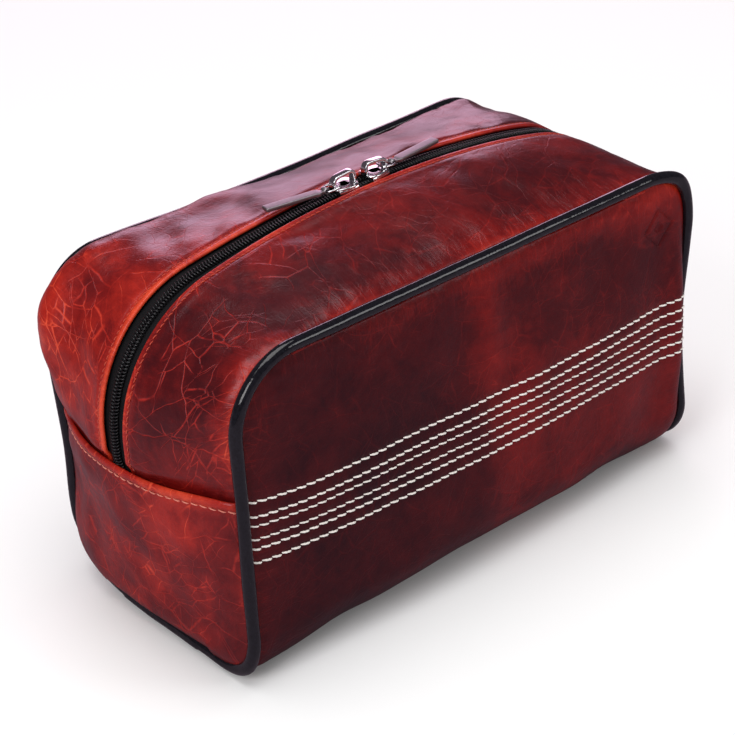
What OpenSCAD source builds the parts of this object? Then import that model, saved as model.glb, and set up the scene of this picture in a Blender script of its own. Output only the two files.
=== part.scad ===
// Leather wash bag with a two-way zip over the top and down both ends.
// Front is -Y, up is +Z, and the origin is the middle of the base.

/* [Bag] */
// Length between the piping lines at the two ends
bag_length = 250; // [235:1:265]
// Depth between the front and back piping lines
bag_depth = 124; // [110:1:135]
// Height of the piping along the top edges
bag_height = 144; // [138:1:155]
// Rise of the zip line above the piping
top_crown = 17; // [12:1:20]
// Swell of each end past its piping
end_swell = 14; // [10:1:18]
// Swell of the front and back past their piping
face_swell = 7; // [3:1:10]
// Height of the seam across each end
seam_height = 83; // [75:1:88]
// Radius of the upper corners of the front and back
corner_r = 30; // [24:1:34]
// Radius of the lower corners, front to back
foot_r = 26; // [15:1:30]
// Thickness of the leather
leather_t = 2; // [1.4:0.2:2.4]

/* [Piping] */
// Outside radius of the piping
piping_r = 2.9; // [2:0.1:3.2]
// Radius of the cord inside it
piping_core_r = 1.8; // [1:0.1:1.9]

/* [Zip] */
// Radius of the long curve of the zip over the top
zip_curve_r = 480; // [400:10:700]
// Half the length of that curve along the bag
zip_curve_half = 92; // [85:1:95]
// Half the width of the gap between the leather edges
zip_gap_half = 6; // [5.5:0.1:7]
// Width of one zip tape
tape_w = 14.4; // [12:0.2:16]
// Distance of each slider from the middle, measured along the bag
slider_x = 8.5; // [8:0.1:10]
// Where the sliders meet, along the bag
zip_meet = -8; // [-20:1:20]
// Length of a pull tab
tab_length = 29; // [20:1:34]
// Width of a pull tab
tab_w = 4.4; // [3:0.1:4.6]

/* [Stitching] */
// Height of the top decorative row
row_top = 84; // [80:1:90]
// Height covered by the decorative rows
row_span = 26; // [20:1:30]

/* [Hidden] */
$fn = 48;

half_l = bag_length / 2;
half_d = bag_depth / 2;
clearance = 0.3;
seam_gap = piping_r + 0.2;
piping_foot = piping_r + clearance;
zip_end = half_l + end_swell;
zip_top = bag_height + top_crown;
zip_centre_z = zip_top - zip_curve_r;
curve_angle = asin(zip_curve_half / zip_curve_r);
bend_r = (zip_end - zip_curve_half) / (1 - sin(curve_angle));
bend_x = zip_curve_half - bend_r * sin(curve_angle);
bend_z = zip_centre_z + (zip_curve_r - bend_r) * cos(curve_angle);
rest_angle = asin(slider_x / zip_curve_r);
meet_angle = asin(zip_meet / zip_curve_r);
swell_height = 60;

// Depths below the outer leather surface at the zip
tape_depth = leather_t + 0.15;
tape_t = 0.75;
coil_t = 1.75;
coil_w = 2.7;
coil_meet = 0.15;
coil_parted = 1.15;
lining_t = 0.5;
lining_depth = leather_t + 0.3;

// Steps along the gusset from the middle of the top (0) round the shoulder (1 to 2) to the seam (3)
top_steps = [for (i = [0 : 8]) i / 8];
bend_steps = [for (i = [1 : 8]) 1 + i / 8];
side_steps = [2.5, 2.99];

// The gusset is cut where the top stops opening, with a narrow gap at the cut
cut_gap = 0.004;
top_cut = 1 - cut_gap;
end_cut = 1 + cut_gap;

red = [0.45, 0.06, 0.05];
dark_red = [0.26, 0.05, 0.07];
black = [0.03, 0.03, 0.035];
steel = [0.78, 0.78, 0.8];
gunmetal = [0.42, 0.4, 0.43];
cream = [0.93, 0.88, 0.84];
lining_grey = [0.12, 0.12, 0.13];

function mirrored(steps) = concat([for (i = [len(steps) - 1 : -1 : 1]) -steps[i]], steps);
opening_steps = mirrored([for (u = top_steps) u * top_cut]);
end_run_steps = concat([end_cut], bend_steps, side_steps);
function spaced(low, high, n) = [for (i = [0 : n]) low + (high - low) * i / n];

// Outline of the piping seen from the front, moved in by depth d, at step a
function piping_x(a, d) = a < 1 ? (half_l - corner_r) * a
    : a < 2 ? half_l - corner_r + (corner_r - d) * sin(90 * (a - 1))
    : half_l - d;
function piping_z(a, d) = a < 1 ? bag_height - d
    : a < 2 ? bag_height - corner_r + (corner_r - d) * cos(90 * (a - 1))
    : bag_height - corner_r - (a - 2) * (bag_height - corner_r - seam_height);

// Outline of the zip line, moved in by depth d, at step a
function zip_x(a, d) = a < 1 ? (zip_curve_r - d) * sin(curve_angle * a)
    : a < 2 ? bend_x + (bend_r - d) * sin(curve_angle + (90 - curve_angle) * (a - 1))
    : zip_end - d;
function zip_z(a, d) = a < 1 ? zip_centre_z + (zip_curve_r - d) * cos(curve_angle * a)
    : a < 2 ? bend_z + (bend_r - d) * cos(curve_angle + (90 - curve_angle) * (a - 1))
    : bend_z - (a - 2) * (bend_z - seam_height);

// Point of the gusset: step u along the bag, distance y from the zip line and depth d below the leather
function gusset(u, y, d) = let(a = abs(u), rise = 1 - pow(y / half_d, 2))
    [(u < 0 ? -1 : 1) * (piping_x(a, d) + (zip_x(a, d) - piping_x(a, d)) * rise),
     y,
     piping_z(a, d) + (zip_z(a, d) - piping_z(a, d)) * rise];

// How full the front is at height z, from 0 at the base and the top piping to 1 between them
function fullness(z) = z < swell_height ? 1 - pow(1 - z / swell_height, 2)
    : 1 - pow((z - swell_height) / (bag_height - swell_height), 2);

// Half the width and the height of the front panel at step q: top corner (-1 to 0), wall (0 to 1),
// foot (1 to 2) and base (2 to 3)
function wall_half(q, edge) = q < 0 ? half_l - corner_r + (corner_r - edge) * cos(-90 * q) : half_l - edge;
function wall_z(q, edge, d) = q < 0 ? bag_height - corner_r + (corner_r - edge) * sin(-90 * q)
    : q < 1 ? bag_height - corner_r + q * (foot_r - bag_height + corner_r)
    : q < 2 ? foot_r - (foot_r - d) * sin(90 * (q - 1))
    : d;
function wall_y(q, d) = q < 1 ? -half_d + d
    : q < 2 ? -half_d + foot_r - (foot_r - d) * cos(90 * (q - 1))
    : -(half_d - foot_r) * (3 - q) - clearance / 2;
function wall(s, q, d, edge) = let(z = wall_z(q, edge, d), full = q < 2 ? fullness(max(z - d, 0)) : 0)
    [s * wall_half(q, edge), wall_y(q, d) - face_swell * (1 - pow(abs(s), 2.5)) * full, z];

// Point of the left end below the seam: s from front (-1) to back (1), and q down the wall (0 to 1)
// and the foot (1 to 2)
function end_half(q, edge) = q < 1 ? half_d - edge : half_d - foot_r + (foot_r - edge) * cos(90 * (q - 1));
function end_z(q, edge) = let(low = piping_foot + edge)
    q < 1 ? seam_height + q * (foot_r - seam_height) : foot_r - (foot_r - low) * sin(90 * (q - 1));
function end_fullness(z) = 1 - pow(1 - z / seam_height, 2.5);
function end_wall(s, q, d, edge) = let(z = end_z(q, edge), y = s * end_half(q, edge))
    [-half_l + d - end_swell * (1 - pow(y / half_d, 2)) * end_fullness(z), y, z];

// Two grids of points, one behind the other, joined into a closed skin
module skin(outer, inner) {
    rows = len(outer);
    cols = len(outer[0]);
    end = rows - 1;
    last = cols - 1;
    function at(i, j, side) = (side * rows + i) * cols + j;
    function quad(a, b, c, d) = [[a, b, c], [a, c, d]];
    faces = concat(
        [for (i = [0 : rows - 2], j = [0 : cols - 2])
            each quad(at(i, j, 0), at(i + 1, j, 0), at(i + 1, j + 1, 0), at(i, j + 1, 0))],
        [for (i = [0 : rows - 2], j = [0 : cols - 2])
            each quad(at(i, j, 1), at(i, j + 1, 1), at(i + 1, j + 1, 1), at(i + 1, j, 1))],
        [for (i = [0 : rows - 2]) each concat(
            quad(at(i, 0, 0), at(i, 0, 1), at(i + 1, 0, 1), at(i + 1, 0, 0)),
            quad(at(i, last, 0), at(i + 1, last, 0), at(i + 1, last, 1), at(i, last, 1)))],
        [for (j = [0 : cols - 2]) each concat(
            quad(at(0, j, 0), at(0, j + 1, 0), at(0, j + 1, 1), at(0, j, 1)),
            quad(at(end, j, 0), at(end, j, 1), at(end, j + 1, 1), at(end, j + 1, 0)))]);
    polyhedron([for (row = outer) each row, for (row = inner) each row], faces, convexity = 8);
}

function unit(v) = v / norm(v);

// A section swept along a line of points: the section's x runs across the line, and its y points away
// from the bag's middle
module sweep(path, section, closed = false) {
    n = len(path);
    m = len(section);
    middle = [0, 0, bag_height / 2];
    rings = [for (i = [0 : n - 1])
        let(before = path[closed ? (i + n - 1) % n : max(i - 1, 0)],
            after = path[closed ? (i + 1) % n : min(i + 1, n - 1)],
            along = unit(after - before),
            across = unit(cross(along, path[i] - middle)),
            out = cross(across, along))
        [for (p = section) path[i] + across * p.x + out * p.y]];
    walls = [for (i = [0 : closed ? n - 1 : n - 2], j = [0 : m - 1])
        let(k = (i + 1) % n, l = (j + 1) % m)
        each [[i * m + j, k * m + j, k * m + l], [i * m + j, k * m + l, i * m + l]]];
    caps = closed ? [] : [[for (j = [0 : m - 1]) j], [for (j = [m - 1 : -1 : 0]) (n - 1) * m + j]];
    polyhedron([for (ring = rings) each ring], concat(walls, caps), convexity = 10);
}

function round_section(r, sides) = [for (i = [0 : sides - 1]) let(a = 360 * i / sides) r * [cos(a), sin(a)]];

// Part of the gusset between two steps and two distances from the zip line
module gusset_skin(steps, ys, depth, thickness) {
    skin([for (u = steps) [for (y = ys) gusset(u, y, depth)]],
         [for (u = steps) [for (y = ys) gusset(u, y, depth + thickness)]]);
}

// A front piece and its mirror image at the back, or a left piece and its mirror image at the right
module flip_y() { mirror([0, 1, 0]) children(); }
module flip_x() { mirror([1, 0, 0]) children(); }
module at_four_ends() {
    children();
    flip_x() children();
    flip_y() children();
    flip_y() flip_x() children();
}

wall_steps = concat(spaced(-1, 0, 6), spaced(0.12, 0.88, 6), spaced(1, 2, 5), [2.5, 3]);
wall_sides = spaced(-1, 1, 16);

module body_half() {
    skin([for (q = wall_steps) [for (s = wall_sides) wall(s, q, 0, seam_gap)]],
         [for (q = wall_steps) [for (s = wall_sides) wall(s, q, leather_t, seam_gap)]]);
}

module front_panel() color(dark_red) body_half();
module back_panel() color(dark_red) flip_y() body_half();

end_steps = concat(spaced(0, 0.85, 6), spaced(1, 2, 5));
end_sides = spaced(-1, 1, 12);

module end_panel() {
    skin([for (s = end_sides) [for (q = end_steps) end_wall(s, q, 0, seam_gap)]],
         [for (s = end_sides) [for (q = end_steps) end_wall(s, q, leather_t, seam_gap)]]);
}

module end_panel_left() color(red) end_panel();
module end_panel_right() color(red) flip_x() end_panel();

// The strips beside the zip: the straight run over the top, and the shoulder down each end
strip_ys = spaced(-half_d + seam_gap, -zip_gap_half, 6);

module top_strip() { gusset_skin(opening_steps, strip_ys, 0, leather_t); }
module shoulder() { gusset_skin(end_run_steps, strip_ys, 0, leather_t); }

module top_strip_front() color(red) top_strip();
module top_strip_back() color(red) flip_y() top_strip();
module shoulder_front_right() color(red) shoulder();
module shoulder_front_left() color(red) flip_x() shoulder();
module shoulder_back_right() color(red) flip_y() shoulder();
module shoulder_back_left() color(red) flip_y() flip_x() shoulder();

// One quarter of the piping line: from the middle of a top edge, down a corner, to the middle of an
// end's base
function piping_quarter(side_x, side_y) = concat(
    [for (x = spaced(0, half_l - corner_r, 3)) [side_x * x, side_y * half_d, bag_height]],
    [for (a = spaced(11.25, 90, 7)) [side_x * (half_l - corner_r + corner_r * sin(a)), side_y * half_d,
        bag_height - corner_r + corner_r * cos(a)]],
    [for (z = spaced(bag_height - corner_r, foot_r, 3)) if (z < bag_height - corner_r)
        [side_x * half_l, side_y * half_d, z]],
    [for (a = spaced(18, 90, 4)) [side_x * half_l, side_y * (half_d - foot_r + foot_r * cos(a)),
        foot_r - (foot_r - piping_foot) * sin(a)]],
    [[side_x * half_l, side_y * (half_d - foot_r) / 2, piping_foot]]);
function backwards(list) = [for (i = [len(list) - 1 : -1 : 1]) list[i]];
piping_line = concat(
    piping_quarter(-1, -1), [[-half_l, 0, piping_foot]], backwards(piping_quarter(-1, 1)),
    piping_quarter(1, 1), [[half_l, 0, piping_foot]], backwards(piping_quarter(1, -1)));

// The cover is folded round the cord, so its section is open on the side that faces into the bag
module piping_cover() {
    cord_room = piping_core_r + 0.15;
    angles = spaced(-70, 250, 8);
    section = concat([for (a = angles) piping_r * [cos(a), sin(a)]],
                     [for (i = [len(angles) - 1 : -1 : 0]) cord_room * [cos(angles[i]), sin(angles[i])]]);
    color(black) sweep(piping_line, section, closed = true);
}
module piping_cord() color(cream) sweep(piping_line, round_section(piping_core_r, 6), closed = true);

tape_edge = 1.6;
module zip_tape(steps) {
    gusset_skin(steps, [-tape_edge - tape_w, -zip_gap_half - 1, -tape_edge], tape_depth, tape_t);
}
module zip_tape_front() color(black) zip_tape(opening_steps);
module zip_tape_back() color(black) flip_y() zip_tape(opening_steps);
module zip_tape_ends() color(black) at_four_ends() zip_tape(end_run_steps);

// The two coils are parted between the sliders, and meet beyond them
coil_depth = 0.25;
open_half = 7.5;
closing_run = 5;
near_sliders = 0.14;
meet_step = meet_angle / curve_angle;
function coil_edge(x) = let(t = min(max((abs(x - zip_meet) - open_half) / closing_run, 0), 1))
    coil_parted + (coil_meet - coil_parted) * t;
coil_top_steps = concat(
    [for (u = mirrored(top_steps)) if (u < meet_step - near_sliders) u * top_cut],
    spaced(meet_step - near_sliders, meet_step + near_sliders, 14),
    [for (u = top_steps) if (u > meet_step + near_sliders) u * top_cut]);

module zip_coil(steps) {
    edges = [for (u = steps) coil_edge(gusset(u, 0, 0).x)];
    rows = [for (depth = [coil_depth, coil_depth + coil_t])
        [for (i = [0 : len(steps) - 1])
            [gusset(steps[i], -edges[i] - coil_w, depth), gusset(steps[i], -edges[i], depth)]]];
    skin(rows[0], rows[1]);
}
module zip_coil_front() color(black) zip_coil(coil_top_steps);
module zip_coil_back() color(black) flip_y() zip_coil(coil_top_steps);
module zip_coil_ends() color(black) at_four_ends() zip_coil(end_run_steps);

// Slider, drawn with its tail towards +X and z measured from the outer leather surface
slider_nose = 6;
plate_t = 1.25;
plate_low = 0.3;
plate_top = plate_low + plate_t;
lower_plate = -tape_depth - tape_t - clearance;
bar_r = 0.7;
link_pivot = [3.1, plate_top + 1.05];
link_length = 6.3;
link_tilt = 5;
tab_tilt = 4;
tab_yaw = 6;
tab_t = 1.7;

module slider_outline(trim) {
    polygon([[-slider_nose, -3.6], [-4.4, -5 + trim], [-1, -5 + trim], [4.8, -4.1 + trim], [slider_nose, -3],
             [slider_nose, 3], [4.8, 4.1 - trim], [-1, 5 - trim], [-4.4, 5 - trim], [-slider_nose, 3.6]]);
}
module rounded_top(w, h, r) {
    union() {
        square([w, h - r]);
        translate([r, 0]) square([w - 2 * r, h]);
        translate([r, h - r]) circle(r);
        translate([w - r, h - r]) circle(r);
    }
}
module slider() {
    flange = plate_top + tape_depth - clearance;
    // Upper plate with a flange down each side of the coil
    difference() {
        translate([0, 0, plate_top - flange]) linear_extrude(flange) slider_outline(0);
        translate([0, 0, plate_low - 5]) linear_extrude(5) polygon([
            [-7, -4.3], [-2.5, -4.3], [2, -3.3], [7, -3.3], [7, 3.3], [2, 3.3], [-2.5, 4.3], [-7, 4.3]]);
    }
    // Lower plate inside the bag, and the wedge that joins the plates and parts the coils
    translate([0, 0, lower_plate - plate_t]) linear_extrude(plate_t) slider_outline(0.4);
    translate([0, 0, lower_plate - 0.1]) linear_extrude(plate_low - lower_plate + 0.2)
        polygon([[-4.8, 0], [-3.6, -0.8], [-1.6, 0], [-3.6, 0.8]]);
    // Crown, an open bridge that the link hangs from
    translate([-5.2, 1.5, plate_top - 0.1]) rotate([90, 0, 0]) linear_extrude(3) difference() {
        rounded_top(10.8, 5.5, 2.6);
        translate([1.7, -1]) rounded_top(7.4, 4.9, 1.5);
    }
}

// The link turns about a bar inside the crown and carries the tab on its far bar
link_rail_y = 2.2;
link_half_w = 3.3;
module bar(length, r) rotate([90, 0, 0]) cylinder(h = length, r = r, center = true);
module pull_link() {
    translate([link_pivot.x, 0, link_pivot.y]) rotate([0, link_tilt, 0]) {
        bar(2 * link_half_w, bar_r);
        translate([link_length, 0, 0]) bar(2 * link_half_w, bar_r);
        for (side = [-1, 1])
            translate([link_length / 2, side * (link_rail_y + link_half_w) / 2, 0])
                cube([link_length, link_half_w - link_rail_y, 2 * bar_r - 0.1], center = true);
    }
}
link_end = [link_pivot.x + link_length * cos(link_tilt), link_pivot.y - link_length * sin(link_tilt)];
eye_r = 1.5;
tab_neck = 3.2;
module pull_tab() {
    translate([link_end.x, 0, link_end.y]) rotate([0, tab_tilt, 0]) difference() {
        union() {
            bar(3.6, eye_r);
            translate([0, -1.3, -tab_t / 2]) cube([4, 2.6, tab_t]);
            rotate([0, 0, tab_yaw]) translate([tab_neck, -tab_w / 2, -tab_t / 2])
                cube([tab_length - tab_neck, tab_w, tab_t]);
        }
        bar(5, bar_r + 0.06);
    }
}
module on_zip(angle) {
    translate([0, 0, zip_centre_z]) rotate([0, angle, 0]) translate([0, 0, zip_curve_r]) children();
}
module slider_right() color(steel) on_zip(meet_angle + rest_angle) slider();
module slider_left() color(steel) flip_x() on_zip(rest_angle - meet_angle) slider();
module pull_link_right() color(steel) on_zip(meet_angle + rest_angle) pull_link();
module pull_link_left() color(steel) flip_x() on_zip(rest_angle - meet_angle) pull_link();
module pull_tab_right() color(gunmetal) on_zip(meet_angle + rest_angle) pull_tab();
module pull_tab_left() color(gunmetal) flip_x() on_zip(rest_angle - meet_angle) pull_tab();

// Fabric lining, just inside the leather and the board
lining_edge = seam_gap + 2.4;
lining_base = leather_t + 2.6;
lining_rows = concat(spaced(-1, 0, 4), spaced(0.2, 0.8, 3), spaced(1, 2, 4), [2.6]);
lining_sides = spaced(-1, 1, 12);
function lining_point(s, q, d) = let(p = wall(s, q, lining_depth + d, lining_edge))
    [p.x, p.y, q < 1 ? p.z : max(p.z, lining_base + d)];
module lining_body() {
    front = [for (q = lining_rows) [for (s = lining_sides) [for (d = [0, lining_t]) lining_point(s, q, d)]]];
    back = [for (i = [len(lining_rows) - 1 : -1 : 0])
        [for (pair = front[i]) [for (p = pair) [p.x, -p.y, p.z]]]];
    rows = concat(front, back);
    color(lining_grey)
        skin([for (row = rows) [for (pair = row) pair[0]]], [for (row = rows) [for (pair = row) pair[1]]]);
}
module lining_end() {
    steps = concat([0.02], spaced(0.2, 0.8, 3), spaced(1, 2, 4));
    sides = spaced(-1, 1, 8);
    edge = lining_edge + 0.6;
    skin([for (s = sides) [for (q = steps) end_wall(s, q, lining_depth, edge)]],
         [for (s = sides) [for (q = steps) end_wall(s, q, lining_depth + lining_t, edge)]]);
}
module lining_end_left() color(lining_grey) lining_end();
module lining_end_right() color(lining_grey) flip_x() lining_end();
module lining_top() {
    gusset_skin([for (u = opening_steps) u * 0.99], spaced(-half_d + seam_gap + 1, -zip_gap_half - 1.2, 5),
                tape_depth + tape_t + 0.2, lining_t);
}
module lining_top_front() color(lining_grey) lining_top();
module lining_top_back() color(lining_grey) flip_y() lining_top();

// Stiff board between the leather base and the lining
module base_board() color([0.55, 0.45, 0.33]) {
    board_l = 2 * (half_l - seam_gap - 6);
    board_d = 2 * (half_d - foot_r - 2);
    translate([-board_l / 2, -board_d / 2, leather_t + 0.2]) cube([board_l, board_d, 1.8]);
}

// Six rows of thread across the front. Their spacing is uneven at the left end and even at the right.
row_left = [0, 0.25, 0.4, 0.62, 0.775, 1];
thread_r = 0.35;
module stitch_rows() color(cream) {
    for (k = [0 : 5])
        sweep([for (s = spaced(-1, 1, 20))
                let(share = row_left[k] + (k / 5 - row_left[k]) * (s + 1) / 2, z = row_top - row_span * share,
                    q = (bag_height - corner_r - z) / (bag_height - corner_r - foot_r))
                wall(s * 0.995, q, -thread_r - 0.1, seam_gap)],
              round_section(thread_r, 6));
}

// Stitching along the leather edges beside the zip, and along the hem across each end
edge_thread_r = 0.25;
stitch_inset = 1.8;
module zip_stitching(steps) {
    sweep([for (u = steps) gusset(u, -zip_gap_half - stitch_inset, -edge_thread_r - 0.1)],
          round_section(edge_thread_r, 6));
}
module zip_stitching_front() color(red) zip_stitching(opening_steps);
module zip_stitching_back() color(red) flip_y() zip_stitching(opening_steps);
module zip_stitching_ends() color(red) at_four_ends() zip_stitching(end_run_steps);
module hem_stitching() {
    sweep([for (s = spaced(-1, 1, 12)) end_wall(s, 0.05, -edge_thread_r - 0.1, seam_gap)],
          round_section(edge_thread_r, 6));
}
module hem_stitching_left() color(red) hem_stitching();
module hem_stitching_right() color(red) flip_x() hem_stitching();

front_panel();
back_panel();
end_panel_left();
end_panel_right();
top_strip_front();
top_strip_back();
shoulder_front_left();
shoulder_front_right();
shoulder_back_left();
shoulder_back_right();
piping_cover();
piping_cord();
zip_tape_front();
zip_tape_back();
zip_tape_ends();
zip_coil_front();
zip_coil_back();
zip_coil_ends();
slider_left();
slider_right();
pull_link_left();
pull_link_right();
pull_tab_left();
pull_tab_right();
lining_body();
lining_end_left();
lining_end_right();
lining_top_front();
lining_top_back();
base_board();
stitch_rows();
zip_stitching_front();
zip_stitching_back();
zip_stitching_ends();
hem_stitching_left();
hem_stitching_right();
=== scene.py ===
"""Leather wash bag with a two-way zip, black piping and rows of pale stitching.

Each sub-assembly is a class that holds its sizes and builds its pieces. All lengths are in metres, the
front of the bag faces -Y, and the origin is the middle of the base.
"""

import logging
from dataclasses import dataclass, replace
from enum import Enum
from typing import Callable, Sequence

import bpy
import numpy as np
from mathutils import Matrix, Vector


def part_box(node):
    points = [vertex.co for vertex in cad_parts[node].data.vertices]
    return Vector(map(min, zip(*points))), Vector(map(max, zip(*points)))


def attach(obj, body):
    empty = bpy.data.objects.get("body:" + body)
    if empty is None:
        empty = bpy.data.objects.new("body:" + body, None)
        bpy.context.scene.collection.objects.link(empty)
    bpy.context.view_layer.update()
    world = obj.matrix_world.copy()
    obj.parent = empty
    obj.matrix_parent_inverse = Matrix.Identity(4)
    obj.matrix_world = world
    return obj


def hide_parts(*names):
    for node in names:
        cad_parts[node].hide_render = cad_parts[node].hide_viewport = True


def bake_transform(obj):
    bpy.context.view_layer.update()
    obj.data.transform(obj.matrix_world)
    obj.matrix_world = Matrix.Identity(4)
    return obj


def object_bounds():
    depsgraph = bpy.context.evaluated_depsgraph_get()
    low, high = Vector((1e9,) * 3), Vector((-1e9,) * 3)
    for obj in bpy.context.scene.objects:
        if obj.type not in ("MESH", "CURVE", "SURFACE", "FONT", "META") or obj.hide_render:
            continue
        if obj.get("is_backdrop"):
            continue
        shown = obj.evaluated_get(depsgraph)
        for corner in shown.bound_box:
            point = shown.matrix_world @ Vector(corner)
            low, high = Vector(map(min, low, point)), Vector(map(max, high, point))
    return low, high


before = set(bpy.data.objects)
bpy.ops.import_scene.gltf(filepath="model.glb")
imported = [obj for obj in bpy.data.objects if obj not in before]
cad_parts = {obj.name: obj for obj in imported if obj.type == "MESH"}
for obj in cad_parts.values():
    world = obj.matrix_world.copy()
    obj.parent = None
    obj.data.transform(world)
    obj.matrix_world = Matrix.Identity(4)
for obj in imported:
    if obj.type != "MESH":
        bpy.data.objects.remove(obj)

LOG = logging.getLogger("wash_bag")
MM = 0.001
CORE = np.array([0.0, 0.0, 70 * MM])

Array = np.ndarray
Shape = Callable[[Array, Array], Array]


class Face(Enum):
    """The two long sides of the bag. The value is the sign of Y."""

    FRONT = -1
    BACK = 1


class End(Enum):
    """The two ends of the bag. The value is the sign of X."""

    LEFT = -1
    RIGHT = 1


# ------------ arrays and meshes


def unit(vectors: Array) -> Array:
    """Scale vectors to length one."""
    return vectors / np.maximum(np.linalg.norm(vectors, axis=-1, keepdims=True), 1e-12)


def smooth(t: Array) -> Array:
    """Ease from 0 to 1: t clipped to 0..1, then 3t^2 - 2t^3."""
    t = np.clip(t, 0.0, 1.0)
    return t * t * (3.0 - 2.0 * t)


def bell(distance: Array, width: float) -> Array:
    """Gaussian bump of height 1: exp(-(distance / width)^2)."""
    return np.exp(-((distance / width) ** 2))


@dataclass(frozen=True)
class Ripple:
    """Soft seeded unevenness: a sum of cosines that run in random directions."""

    seed: int
    wavelength: float
    waves: int = 22

    def at(self, points: Array) -> Array:
        """Value of the ripple at each point.

        Each wave is cos(k . p + phase), where k has a random direction and a length of 2 pi over 0.7 to
        1.5 times the wavelength. The sum is scaled to a spread of about 1.

        Args:
            points: Array whose last axis holds coordinates.

        Returns:
            Array without the last axis.
        """
        rng = np.random.default_rng(self.seed)
        size = points.shape[-1]
        directions = unit(rng.normal(size=(self.waves, size)))
        lengths = self.wavelength * rng.uniform(0.7, 1.5, self.waves)
        k = directions * (2.0 * np.pi / lengths)[:, None]
        phases = rng.uniform(0.0, 2.0 * np.pi, self.waves)
        return np.cos(points @ k.T + phases).sum(axis=-1) * np.sqrt(2.0 / self.waves) * 0.7


@dataclass(frozen=True)
class Push:
    """A soft push on everything near a point, as a used bag leans and slumps."""

    at: tuple[float, float, float]
    spread: tuple[float, float, float]
    by: tuple[float, float, float]

    def shift(self, points: Array) -> Array:
        """Movement of each point: the push times exp(-|(point - at) / spread|^2)."""
        offset = (points - np.array(self.at)) / np.array(self.spread)
        return np.exp(-(offset ** 2).sum(axis=-1, keepdims=True)) * np.array(self.by)


SLUMP = (
    Push((-20, 62, 144), (95, 30, 35), (0, 0, -3.2)),
    Push((-125, 62, 60), (30, 30, 45), (3.0, -1.0, 0)),
    Push((128, 0, 135), (28, 50, 30), (-1.0, 0, -4.0)),
    Push((118, -62, 138), (14, 16, 14), (2.0, 0, 2.5)),
    Push((-137, -56, 85), (25, 25, 25), (0, 0, 3.2)),
    Push((-137, 50, 85), (25, 38, 30), (0, 0, -2.5)),
    Push((10, -58, 6), (70, 16, 14), (0, 1.0, 1.0)),
    Push((-125, 60, 4), (40, 26, 22), (2.0, -2.5, 2.5)),
    Push((-120, -56, 7), (30, 15, 12), (-0.5, -1.8, -1.8)),
    Push((126, -62, 64), (8, 14, 50), (-2.0, 5.0, 0)),
)


def settle(points: Array) -> Array:
    """Slump every point by the sum of the pushes, and keep it off the floor.

    Args:
        points: Points in metres.

    Returns:
        Moved points.
    """
    scaled = points / MM
    moved = scaled + sum(push.shift(scaled) for push in SLUMP)
    moved[..., 2] = np.maximum(moved[..., 2], 0.08)
    return moved * MM


def grid_faces(rows: int, cols: int, wrap_rows: bool = False, wrap_cols: bool = False) -> Array:
    """Quads of a grid of points stored row by row.

    Args:
        rows: Number of rows.
        cols: Number of points in a row.
        wrap_rows: Whether the last row joins the first.
        wrap_cols: Whether the last column joins the first.

    Returns:
        Array of four indices a face.
    """
    i, j = np.meshgrid(np.arange(rows if wrap_rows else rows - 1),
                       np.arange(cols if wrap_cols else cols - 1), indexing="ij")
    i2, j2 = (i + 1) % rows, (j + 1) % cols
    return np.stack([i * cols + j, i2 * cols + j, i2 * cols + j2, i * cols + j2], -1).reshape(-1, 4)


def signed_volume(points: Array, groups: Sequence[Array]) -> float:
    """Volume inside closed faces, negative where they point inwards.

    Each face is cut into triangles from its first corner, and each triangle adds a . (b x c) / 6.

    Args:
        points: Vertices.
        groups: Index arrays, one for each number of corners.

    Returns:
        The volume.
    """
    total = 0.0
    for faces in groups:
        for k in range(1, faces.shape[1] - 1):
            a, b, c = points[faces[:, 0]], points[faces[:, k]], points[faces[:, k + 1]]
            total += float(np.einsum("ij,ij->", a, np.cross(b, c))) / 6.0
    return total


def mesh_object(name: str, points: Array, groups: Sequence[Array],
                values: dict[str, Array] | None = None, maps: dict[str, Array] | None = None,
                soft: bool = True) -> bpy.types.Object:
    """Put closed faces into a new smooth-shaded object, with outward normals.

    Args:
        name: Name of the piece.
        points: Vertices, any shape whose last axis is x, y and z.
        groups: Index arrays, one for each number of corners.
        values: Named float attributes, one value a vertex.
        maps: Named UV maps, one pair a vertex.
        soft: Whether the piece slumps with the bag.

    Returns:
        The object, linked to the scene.
    """
    points = points.reshape(-1, 3)
    if soft:
        points = settle(points)
    groups = [np.asarray(faces, int) for faces in groups if len(faces)]
    if signed_volume(points, groups) < 0.0:
        groups = [faces[:, ::-1] for faces in groups]
    corners = np.concatenate([faces.ravel() for faces in groups])
    sizes = np.concatenate([np.full(len(faces), faces.shape[1]) for faces in groups])
    starts = np.concatenate([[0], np.cumsum(sizes)[:-1]])
    mesh = bpy.data.meshes.new(name)
    mesh.vertices.add(len(points))
    mesh.vertices.foreach_set("co", points.astype(np.float32).ravel())
    mesh.loops.add(len(corners))
    mesh.loops.foreach_set("vertex_index", corners.astype(np.int32))
    mesh.polygons.add(len(sizes))
    mesh.polygons.foreach_set("loop_start", starts.astype(np.int32))
    mesh.update(calc_edges=True)
    mesh.shade_smooth()
    for key, array in (values or {}).items():
        mesh.attributes.new(key, "FLOAT", "POINT").data.foreach_set(
            "value", np.ascontiguousarray(array, np.float32).ravel())
    for key, pairs in (maps or {}).items():
        layer = mesh.uv_layers.new(name=key)
        layer.data.foreach_set("uv", pairs.reshape(-1, 2)[corners].astype(np.float32).ravel())
    obj = bpy.data.objects.new(name, mesh)
    bpy.context.scene.collection.objects.link(obj)
    return obj


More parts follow.
